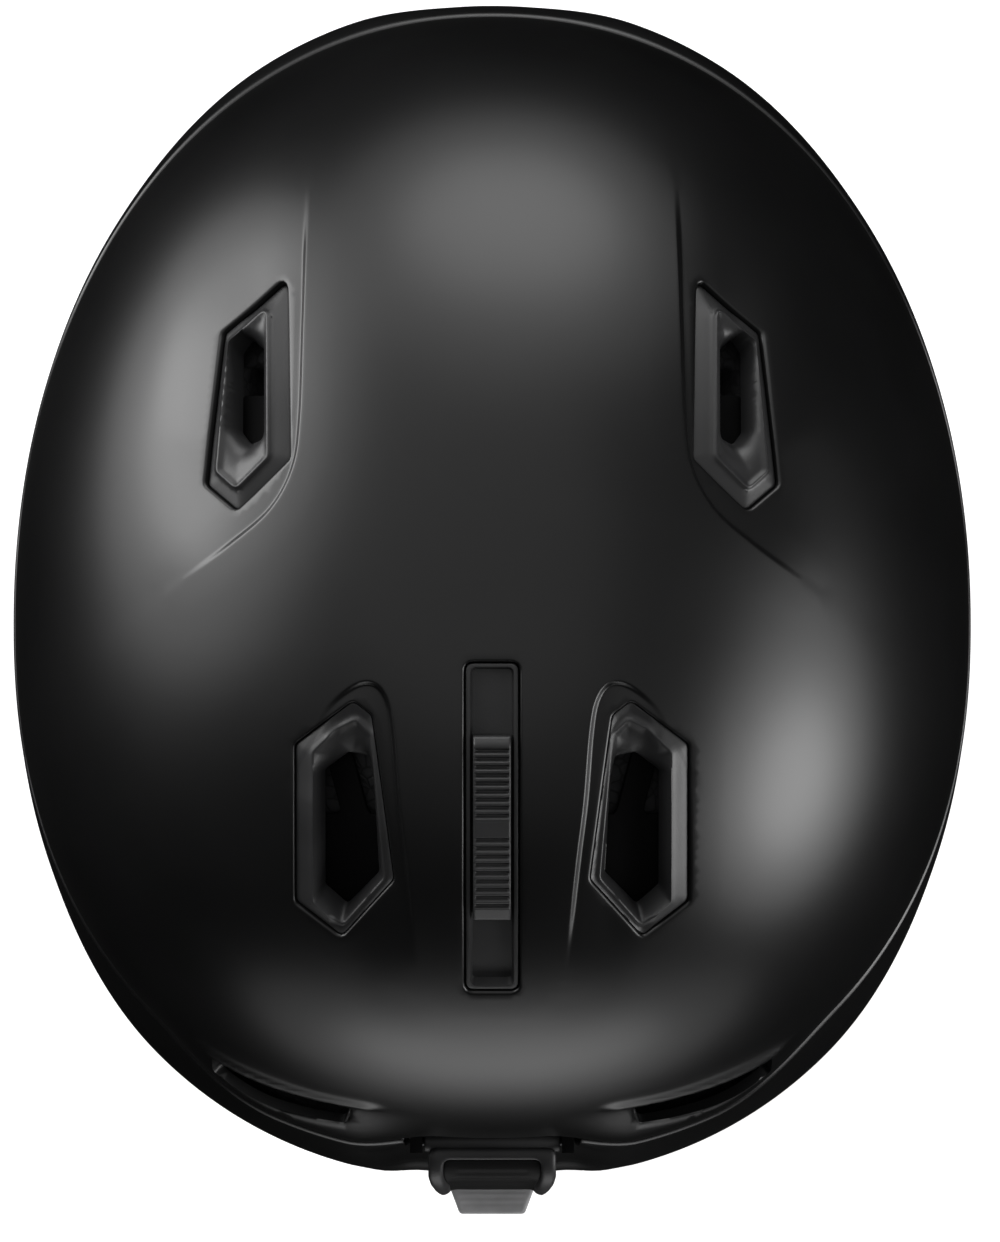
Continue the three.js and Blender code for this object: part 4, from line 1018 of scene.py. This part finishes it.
def retainer():
    top, low, half, edge = travel_to(129.6), travel_at(70.5), RETAINER_HALF, RETAINER_LENGTH
    boundary = rounded(both_halves([
        (half, 0), (half, travel_to(133.5)), (14.4, travel_to(136.3)), (12.6, travel_to(138.0)),
        (12.2, edge - 3), (10.8, edge)]), 2.5)
    window = rounded(both_halves([
        (11.8, top), (11.8, travel_to(133.2)), (10.3, travel_to(136.4)), (9.9, low - 1.5), (8.6, low)]), 1.6)
    verts, faces = rounded_plate(boundary, [window], place_on_retainer, RETAINER_THICKNESS,
                                 radius=1.0, spacing=1.2)
    barrel, barrel_faces = tube_along_x(outer=2.6, inner=1.45, start=-16.5, end=16.5, y=125.2, z=108)
    clip = np.vstack([verts, barrel]), faces + (barrel_faces + len(verts)).tolist()
    piece("retainer_clip_frame", clip, GRIP, "retainer_clip")

    web_edge, first_rib = offset(window, 0.15), top + 2.2
    rib_height, rib_pitch, web_depth, web_bottom = 0.2, 2.75, 0.9, 2.3
    ribs = ridge_lines(8, 24, np.arange(first_rib, low - 2.5, 0.55))
    flat = region(web_edge, [], [offset(web_edge, -away) for away in (0.1, 0.3, 0.7)], ribs, 1.5)

    def web_top(points):
        from_edge = distance_to_loop(points, web_edge)
        rib = rib_height * ripple(points[:, 1] - first_rib, rib_pitch) * smoothstep(from_edge, 1.2, 2.0)
        return web_depth + edge_round(from_edge, 0.5) + rib
    piece("retainer_web_ribbed", thick(flat, place_on_retainer, web_top, web_bottom), WEB_RUBBER,
          "retainer_web")

    tab_edge = rounded(both_halves([(10.9, 135.6), (7.9, 143.6)]), 1.0, 0.6)
    tab_height, tab_thickness, tab_radius, tab_sag = 66.6, 3.3, 0.8, 0.9
    groove_start, groove_pitch, groove_depth = 137.4, 1.5, 0.12
    grooves = ridge_lines(7.5, 30, np.arange(137.2, 142.4, 0.3))
    flat = region(tab_edge, [], [offset(tab_edge, -away) for away in (0.1, 0.35, 0.8)], grooves, 1.2)

    def on_tab(points, depth):
        sag = tab_sag * smoothstep(points[:, 1], 137, 143.6)
        return np.column_stack([points, tab_height - sag - depth])

    def tab_top(points):
        from_edge = distance_to_loop(points, tab_edge)
        groove = groove_depth * ripple(points[:, 1] - groove_start, groove_pitch)
        return edge_round(from_edge, tab_radius) + groove * smoothstep(from_edge, 1.0, 1.6)

    def tab_bottom(points):
        return tab_thickness - edge_round(distance_to_loop(points, tab_edge), tab_radius)
    # The tab's light grey material is a painted highlight.
    piece("retainer_tab_soft", thick(flat, on_tab, tab_top, tab_bottom), TAB_PAINTED_HIGHLIGHT, "retainer_tab")


def tube_along_x(outer, inner, start, end, y, z, sides=32):
    """A tube with rounded ends, from profile points (x, radius)."""
    soft, bit = 0.5, 0.15
    profile = [(start, inner), (start, outer - soft), (start + bit, outer - bit), (start + soft, outer),
               (end - soft, outer), (end - bit, outer - bit), (end, outer - soft), (end, inner)]
    return ring_solid([np.column_stack([np.full(sides, x), polar(r, full_turn(sides)) + [y, z]])
                       for x, r in profile])


# ------------------------------------------------------------------ dial fit system
def to_world(local):
    """From the fit system's own frame to the helmet's design frame."""
    x, y, z = np.asarray(local, float).T
    cosine, sine = math.cos(FIT["tilt"]), math.sin(FIT["tilt"])
    return np.column_stack([x, y * cosine - z * sine, FIT["z"] + y * sine + z * cosine])


def turned(profile, sides):
    """A solid turned about the dial's axis, from (height along the axis, radius) loops."""
    turns = full_turn(sides)
    return ring_solid([to_world(np.column_stack([
        radius * np.cos(turns), np.full(sides, float(height)), radius * np.sin(turns)]))
        for height, radius in profile])


def place_on_arc(radius):
    """Lays (arc length from the nape, height) points on an arc; depth goes toward the head."""
    def place(points, depth):
        turn = points[:, 0] / FIT["radius"]
        reach = radius - np.asarray(depth)
        return to_world(np.column_stack([reach * np.sin(turn), reach * np.cos(turn), points[:, 1]]))
    return place


def arc_length(degrees):
    return math.radians(degrees) * FIT["radius"]


def fit_arm(node, side):
    """The left arm carries its rack above the pinion, the right arm below it."""
    pitch, thickness, edge_radius = math.pi, 2, 0.5
    half_height, tooth_root, tooth_tip = 7, 5.0, 3.3
    slot_half, slot_rise = 7, 1.6
    band_end, rack_end, far_end = arc_length(30), -arc_length(12), arc_length(116)
    points = [(far_end, -half_height), (far_end, half_height), (rack_end, half_height)]
    points += [(rack_end, tooth_root)]
    for k in range(-4, 11):
        middle = (k - 0.5) * pitch
        if rack_end + 1 < middle < band_end - 1.5:
            points += [(middle - 0.9, tooth_root), (middle - 0.36, tooth_tip),
                       (middle + 0.36, tooth_tip), (middle + 0.9, tooth_root)]
    points += [(band_end, tooth_root), (band_end, -half_height)]
    outer = counter_clockwise(resampled(np.array(points), 0.55) * side)
    slots = []
    for degrees in (44, 57, 70):
        middle = arc_length(degrees) * side
        slots.append(rounded([(middle - slot_half, -slot_rise), (middle + slot_half, -slot_rise),
                              (middle + slot_half, slot_rise), (middle - slot_half, slot_rise)], 1.5))
    flat = region(outer, slots, [offset(slot, away) for slot in slots for away in (0.1, 0.5)], spacing=2.2)

    def edges(points):
        return edge_round(distance_to_loop(points, *slots), edge_radius)
    solid = thick(flat, place_on_arc(FIT["radius"] + 1), edges, lambda p: thickness - edges(p))
    piece(node + "_moulded", solid, INSERT, node)


def dial_knob():
    """A scalloped knob with a dished face; its profile is (height along the axis, radius)."""
    sides, lobe_count, scallop = 240, 20, 1.1
    lobes = 0.5 + 0.5 * np.cos(lobe_count * full_turn(sides))
    profile = np.array([
        (90, 3.5), (90, 14.2), (90.3, 14.9), (91, 15.3), (93, 15.6), (96, 15.8), (98.6, 15.7), (99.8, 15.2),
        (100.6, 14.4), (101, 13.2), (100.6, 11.5), (99.9, 9.6), (99.6, 7.6), (99.7, 6.2), (99.4, 5.4),
        (98.6, 5.0), (98, 4.9), (98, 3.5)])
    grips = smoothstep(profile[:, 1], 13.4, 15.2) * smoothstep(profile[:, 0], 90.4, 92.5)
    solid = turned([(height, radius - scallop * grip * (1 - lobes) ** 0.7)
                    for (height, radius), grip in zip(profile, grips)], sides)
    piece("dial_knob_scalloped", solid, GRIP, "dial_knob")


def dial_screw():
    """A pan head with a six-sided socket."""
    sides = 48
    hexagon = 1.5 / np.cos((full_turn(sides) + math.pi / 6) % (math.pi / 3) - math.pi / 6)
    profile = [(98.5, 0.01), (98.5, 3.9), (99.3, 4.0), (99.8, 3.7), (100, 3.1), (100, 1.9), (99.9, hexagon),
               (99.0, hexagon * 0.97), (98.95, 0.01)]
    piece("dial_screw_head", turned(profile, sides), STEEL, "dial_screw")


# ------------------------------------------------------------------ padding
def pad_block(columns, rows, layers, place):
    """A closed block of quads over a unit cube, warped by place(x, y, z)."""
    index, verts, faces = {}, [], []
    sizes = (columns, rows, layers)

    def vert(spot):
        if spot not in index:
            index[spot] = len(verts)
            verts.append(place(*[k / size - 0.5 for k, size in zip(spot, sizes)]))
        return index[spot]
    for axis in range(3):
        p, q = [k for k in range(3) if k != axis]
        for level in (0, sizes[axis]):
            for a in range(sizes[p]):
                for b in range(sizes[q]):
                    corners = []
                    for da, db in ((0, 0), (1, 0), (1, 1), (0, 1)):
                        spot = [level] * 3
                        spot[p], spot[q] = a + da, b + db
                        corners.append(vert(tuple(spot)))
                    faces.append(corners)
    return np.array(verts), faces


def pillow(x, y, z, fullness=0.5, power=4):
    """Thins a pad toward its edges: the scaled height of a layer at a place on the unit square."""
    edge = (1 - abs(2 * x) ** power) * (1 - abs(2 * y) ** power)
    return z * (1 - fullness + fullness * max(edge, 0) ** 0.5)


def round_corners(x, y, power=5):
    """Pulls a unit square's corners in."""
    size = (abs(2 * x) ** power + abs(2 * y) ** power) ** (1 / power)
    biggest = max(abs(2 * x), abs(2 * y))
    return (x, y) if size < 1e-9 else (x * biggest / size, y * biggest / size)


CLOTH = {"quality": 4, "mass": 0.15, "use_pressure": True, "tension_stiffness": 12,
         "compression_stiffness": 12, "shear_stiffness": 5, "bending_stiffness": 0.3}
CLOTH_FRAMES = 20


def coordinates(obj):
    spots = np.zeros(len(obj.data.vertices) * 3, np.float32)
    obj.data.vertices.foreach_get("co", spots)
    return spots.reshape(-1, 3)


def move_to(obj, spots):
    obj.data.vertices.foreach_set("co", spots.ravel())
    obj.data.update()


def puff(obj, cap, voxel, pressure):
    """Blows a pad up as sewn cloth, each point by no more than a cap, and smooths it."""
    rest_mesh = obj.data
    remesh = obj.modifiers.new("remesh", "REMESH")
    remesh.mode = "VOXEL"
    remesh.voxel_size = voxel * MM
    remesh.use_smooth_shade = True
    apply_modifiers(obj)
    start = coordinates(obj)
    cloth = obj.modifiers.new("cloth", "CLOTH")
    for key, value in CLOTH.items():
        setattr(cloth.settings, key, value)
    cloth.settings.uniform_pressure_force = pressure
    cloth.settings.effector_weights.gravity = 0
    cloth.point_cache.frame_start = 1
    cloth.point_cache.frame_end = CLOTH_FRAMES
    for step in range(1, CLOTH_FRAMES + 1):
        bpy.context.scene.frame_set(step)
    shift = coordinates(obj.evaluated_get(bpy.context.evaluated_depsgraph_get())) - start
    length = np.linalg.norm(shift, axis=1)
    scale = np.minimum(1, cap * MM / np.maximum(length, 1e-9))
    obj.modifiers.remove(cloth)
    bpy.context.scene.frame_set(1)
    move_to(obj, start + shift * scale[:, None])
    smooth = obj.modifiers.new("smooth", "SUBSURF")
    smooth.levels = smooth.render_levels = 1
    apply_modifiers(obj)
    obj.data.shade_smooth()
    if rest_mesh.users == 0:
        bpy.data.meshes.remove(rest_mesh)


def apply_modifiers(obj):
    bpy.context.view_layer.update()
    evaluated = obj.evaluated_get(bpy.context.evaluated_depsgraph_get())
    mesh = bpy.data.meshes.new_from_object(evaluated)
    obj.modifiers.clear()
    obj.data = mesh


def sewn_pad(node, divisions, place, voxel=3.5):
    """A knitted pad that is warped from a block, blown up, and put on its CAD node's body."""
    pad = make_object(node + "_sewn", *pad_block(*divisions, place), KNIT)
    puff(pad, cap=1.0, voxel=voxel, pressure=4.0)
    stand_for(pad, node)


def wall_pad(node, middle, span, low, high, thickness, sewn=()):
    """A comfort pad on the inside of the foam, with seams at some shares of its span."""
    clear, slack, fullness, seam_depth, seam_width = 1.4, 0.8, 0.45, 0.55, 2.2

    def place(x, y, z):
        x, y = round_corners(x, y)
        angle = np.array([math.radians(middle + x * (span - 3))])
        height = low + slack + (high - low - 2 * slack) * (y + 0.5)
        seam = 1 - seam_depth * max([math.exp(-((x - line) * span / seam_width) ** 2) for line in sewn] + [0])
        lift = (0.5 + pillow(x, y, z, fullness)) * (thickness - 2 * slack) * (seam if z > 0 else 1)
        inward = clear + slack + lift
        reach = outline(CAVITY, angle)[0] - inward
        if height <= EQUATOR:
            reach *= 1 - CAVITY["taper"] * ((EQUATOR - height) / TAPER_SPAN) ** 2
        else:
            reach *= arch(CAVITY, min((height - EQUATOR) / (CAVITY["rise"] - inward), 1))
        return (reach * math.cos(angle[0]), CAVITY["centre"] + reach * math.sin(angle[0]), height)
    sewn_pad(node, (44, 14, 3), place)


def crown_pad():
    half, length, clear, thickness = 22.0, 56.0, 1.8, 6.4
    fullness, seam_depth, seam_width = 0.45, 0.45, 2.4

    def place(x, y, z):
        wide, tall = round_corners(x, y)
        seam = max(math.exp(-((y - line) * 2 * length / seam_width) ** 2) for line in (-0.2, 0, 0.2))
        lift = (0.5 + pillow(x, y, z, fullness)) * thickness * (1 - seam_depth * seam if z > 0 else 1)
        px, py = wide * 2 * (half - 1), tall * 2 * (length - 1)
        along = py - CAVITY["centre"]
        share = math.hypot(px, along) / (
            outline(CAVITY, np.array([math.atan2(along, px)]))[0] - clear - lift)
        return (px, py, EQUATOR + (CAVITY["rise"] - clear - lift) * arch(CAVITY, share))
    sewn_pad("crown_pad", (18, 44, 3), place)


EAR_PAD = {"top_front": -58, "top_rear": 72, "bottom_front": -28, "bottom_rear": 44,
           "thickness": 17.0, "top_outer": 9.9, "bottom_outer": 101.0, "lift": 0.4, "inset": 1.6}


def ear_pad_spot(x, y, z, side, inset):
    """A place in an ear pad: x across it, y from front to rear, z from the floor up."""
    up = z + 0.5
    front, rear = [EAR_PAD["bottom_" + end] + (EAR_PAD["top_" + end] - EAR_PAD["bottom_" + end]) * up ** 1.4
                   for end in ("front", "rear")]
    along = front + inset + (rear - front - 2 * inset) * (y + 0.5)
    angle = np.array([math.atan2(along, 105)])
    reach = outline(BELT, angle)[0] * math.cos(angle[0])
    swell = math.sin(up * math.pi / 2)
    outer = EAR_PAD["bottom_outer"] + (reach - EAR_PAD["top_outer"] - EAR_PAD["bottom_outer"]) * swell
    across = outer - inset - (EAR_PAD["thickness"] - 2 * inset) * (0.5 - x)
    share = x + 0.5
    # The top follows the rim above it, a little farther back over the inner face than over the outer one.
    top_angle = np.array([math.atan2(along + 9 - 7 * share, 86 + 16 * share)])
    height = up * (rim_height(top_angle)[0] + EAR_PAD["lift"] - inset)
    return (side * across, along, height)


def ear_pad(node, side):
    inset, cover_low, binding_low = EAR_PAD["inset"], 0.25, 1.3

    def place(x, y, z):
        y, z = round_corners(y, z, 7) if z > -0.2 else (y, z)
        thin = pillow(y, max(z, -0.42) * 0.9, x, 0.38, 5)
        spot = ear_pad_spot(thin, y, z, side, inset)
        return (*spot[:2], max(spot[2], cover_low))
    pad = make_object(node + "_cover", *pad_block(5, 40, 30, place), EAR_KNIT)
    puff(pad, cap=2.2, voxel=4.0, pressure=3.0)
    settle_on_floor(pad)
    stand_for(pad, node)

    path, square = [], 0.35
    for turn in full_turn(150):
        y, z = flattened(math.cos(turn), square) * 0.49, flattened(math.sin(turn), square) * 0.47
        spot = ear_pad_spot(0.0, y, z, side, inset + 0.2)
        path.append((*spot[:2], max(spot[2], binding_low)))
    binding = make_object(node + "_binding", *closed_tube(np.array(path), 1.15), PIPING)
    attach(binding, frame["nodes"][node]["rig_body"])


def settle_on_floor(obj):
    """Keeps a pad that stands on the floor out of it, with a flat patch where it rests. In metres."""
    clear, patch, settled = 0.0002, 0.003, 0.02
    spots = coordinates(obj)
    height = spots[:, 2]
    sunk = (height.min() - clear) * (1 - smoothstep(height, patch, settled))
    spots[:, 2] = np.maximum(height - sunk, clear)
    move_to(obj, spots)


def closed_tube(path, radius, sides=10):
    """A round tube along a closed path."""
    along = np.roll(path, -1, 0) - np.roll(path, 1, 0)
    along /= np.linalg.norm(along, axis=1)[:, None]
    across = np.cross(along, np.tile([1.0, 0, 0], (len(path), 1)))
    across /= np.linalg.norm(across, axis=1)[:, None]
    other = np.cross(along, across)
    return ring_solid([path + radius * (math.cos(t) * across + math.sin(t) * other)
                       for t in full_turn(sides)])


def nape_pad():
    radius, half_span, half_height, clear, thickness = 79.2, arc_length(27), 12.2, 0.9, 6.0

    def place(x, y, z):
        wide, tall = round_corners(x, y)
        lift = clear + (0.5 + pillow(x, y, z, 0.4)) * thickness
        spot = np.array([[wide * 2 * half_span, tall * 2 * half_height]])
        return tuple(place_on_arc(radius)(spot, lift)[0])
    sewn_pad("nape_pad", (40, 14, 3), place)


def chin_pad():
    low, high = box_mm("chin_pad")
    slack = 0.8

    def place(x, y, z):
        shares = np.array([*round_corners(x, y), pillow(x, y, z, 0.5)])
        return tuple((high + low) / 2 + shares * (high - low - 2 * slack))
    sewn_pad("chin_pad", (24, 18, 4), place, 2.5)


# ------------------------------------------------------------------ chin strap
STRAP = {"front": -12.0, "width": 20.0, "thickness": 2.0, "x": 80.2, "z": 4.4, "bend": 9.0, "top": 125.0}


def strap_path(end):
    """(X, Z) points from the anchor on the foam down and across to an end."""
    x, z, bend, top = STRAP["x"], STRAP["z"], STRAP["bend"], STRAP["top"]
    t = np.linspace(0, 1, 14)
    hang = bezier(np.array([(x + 5, top), (x + 5, top - 9), (x, top - 8), (x, top - 17)]), t)[0]
    t = t[:, None]
    start, corner, finish = np.array([(x, z + bend), (x, z), (x - bend, z)])
    turn = (1 - t) ** 2 * start + 2 * t * (1 - t) * corner + t ** 2 * finish
    return resampled(np.vstack([hang, turn, [(end, z)]]), 1.5, closed=False)


def webbing(node, end, side):
    """Flat tape along the strap's path; the right one goes on its CAD node's body, the left one stays off the
    bodies.
    """
    path = strap_path(end)
    along = np.gradient(path, axis=0)
    along /= np.hypot(*along.T)[:, None]
    across = np.column_stack([-along[:, 1], along[:, 0]])
    slack, square_width, square_thickness = 0.15, 0.35, 0.7
    half, thin = STRAP["width"] / 2, STRAP["thickness"] / 2 - slack
    middle = STRAP["front"] + half
    edges = []
    for turn in full_turn(28):
        wide = flattened(math.cos(turn), square_width) * half
        tall = flattened(math.sin(turn), square_thickness) * thin
        x, z = (path + across * tall).T
        edges.append(np.column_stack([x * side, np.full(len(path), middle + wide), z]))
    solid = strip_solid(np.stack(edges, 1))
    tape = make_object(node + "_tape", *solid, WEBBING, FINE_SHARP)
    travel = travelled(path)
    layer = tape.data.uv_layers.new(name="tape")
    spots = np.array([v.co for v in tape.data.vertices]) / MM - np.array([0, CENTRING, 0])
    nearest = [int(np.argmin((path[:, 0] - abs(s[0])) ** 2 + (path[:, 1] - s[2]) ** 2)) for s in spots]
    for loop in tape.data.loops:
        vertex = loop.vertex_index
        layer.data[loop.index].uv = (travel[nearest[vertex]], spots[vertex][1])
    if side > 0:                 # the left tape stays off the bodies
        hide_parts(node)
        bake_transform(tape)
    else:
        stand_for(tape, node)


# ------------------------------------------------------------------ stage, light and camera
VIEW_HEIGHT = 300.7           # millimetres that the frame's long side spans at the helmet's widest level
VIEW_MIDDLE = (-1.9, -0.94)   # plan point at the middle of the frame
CAMERA_DISTANCE = 8000.0
SENSOR = 36.0
LIGHT_HEART = (0, 0, 0.16)    # metres; the lights stand on a sphere about this point,
LIGHT_DISTANCE = 1.3          # of this radius


def stage():
    bpy.ops.mesh.primitive_plane_add(size=60)
    floor = bpy.context.object
    floor.name = "floor"
    look = Look("pale_floor", (0.5, 0.5, 0.5), 0.9, specular=0.0)
    look.set(Emission_Color=(1, 1, 1, 1), Emission_Strength=0.8)
    floor.data.materials.append(look.material)
    floor.visible_glossy = False


def camera():
    data = bpy.data.cameras.new("camera")
    data.sensor_width = SENSOR
    data.lens = SENSOR * CAMERA_DISTANCE / VIEW_HEIGHT
    data.clip_end = 50
    made = bpy.data.objects.new("camera", data)
    bpy.context.scene.collection.objects.link(made)
    x, y = VIEW_MIDDLE
    made.location = Vector((x, y + CENTRING, EQUATOR + CAMERA_DISTANCE)) * MM
    made.rotation_euler = (0, 0, math.pi)
    bpy.context.scene.camera = made


def reflected(x, y):
    """The direction from which light is mirrored straight up by the shell over a plan point."""
    spot = np.array([[x, y]])
    outward = (place_on_shell(spot, np.array([-1.0])) - place_on_shell(spot, np.array([0.0])))[0]
    return Vector(2 * outward[2] * outward - np.array([0, 0, 1.0])).normalized()


def softbox(name, x, y, width, height, power):
    """A soft light whose reflection falls over a plan point of the shell: a core in a wider, dimmer halo."""
    for part, scale, share in (("core", 0.6, 0.4), ("halo", 1.2, 0.6)):
        data = bpy.data.lights.new(name + "_" + part, "AREA")
        data.shape = "ELLIPSE"
        data.size, data.size_y = width * scale, height * scale
        data.energy = power * share
        made = bpy.data.objects.new(name + "_" + part, data)
        bpy.context.scene.collection.objects.link(made)
        aim = reflected(x, y)
        made.location = Vector(LIGHT_HEART) + aim * (LIGHT_DISTANCE + 0.02 * scale)
        made.rotation_mode = "QUATERNION"
        made.rotation_quaternion = aim.to_track_quat("Z", "Y")


def lights():
    world = bpy.data.worlds.new("pale_surround")
    world.use_nodes = True
    background = world.node_tree.nodes["Background"]
    background.inputs["Color"].default_value = (1, 1, 1, 1)
    background.inputs["Strength"].default_value = 0.3
    bpy.context.scene.world = world
    world.cycles_visibility.glossy = False
    bpy.context.scene.view_settings.view_transform = "Standard"
    softbox("brow_left_light", 66, -55, 1.25, 1.7, 28)
    softbox("brow_middle_light", -6, -98, 1.6, 1.35, 14)
    softbox("crown_light", 4, -20, 2.2, 2.4, 4.5)
    softbox("rear_right_light", -71, 38, 1.0, 1.05, 15)
    softbox("nape_light", -4, 102, 1.6, 0.95, 6)


# ------------------------------------------------------------------ the helmet
camera()
lights()
stage()
upper_shell()
lower_shell()
rim_trim()
liner_foam()
for side, hand in ((1, "left"), (-1, "right")):
    vent_frame(FRONT_VENT, "vent_frame_front_" + hand, side)
    vent_frame(REAR_VENT, "vent_frame_rear_" + hand, side)
    fit_arm("fit_arm_" + hand, side)
    ear_pad("ear_pad_" + hand, side)
    wall_pad("side_pad_" + hand, 0 if side > 0 else 180, 64, 127, 160, 8)
slider_track()
vent_slider()
shutter_plate()
retainer()
dial_knob()
dial_screw()
wall_pad("brow_pad", -90, 100, 111, 132, 7, (-0.25, 0, 0.25))
wall_pad("rear_pad", 90, 64, 96, 136, 9, (-0.2, 0.2))
crown_pad()
nape_pad()
chin_pad()
webbing("chin_strap_left", 62.4, 1)
webbing("chin_strap_right", -21.6, -1)

# The bracket's near-black material is painted shade for the slot it sits in.
refined("retainer_bracket", MECHANISM_PAINTED_SHADE)
for node in ("retainer_catch", "dial_housing_back", "dial_housing_front", "arm_guide_left", "arm_guide_right",
             "height_strap", "strap_anchor_left", "strap_anchor_right", "buckle_female", "buckle_male",
             "strap_adjuster"):
    refined(node, INSERT)
refined("strap_keeper", TRIM)

SHOWN_NODES = {
    STEEL: ["shutter_screw_front", "shutter_screw_rear", "ear_pad_snap_front_left",
            "ear_pad_snap_front_right", "ear_pad_snap_rear_left", "ear_pad_snap_rear_right"],
    BLACK_STEEL: ["retainer_pin"],
    INSERT: ["dial_pinion"],
}
for material, nodes in SHOWN_NODES.items():
    for node in nodes:
        frame["nodes"][node].data.materials.clear()
        frame["nodes"][node].data.materials.append(material)
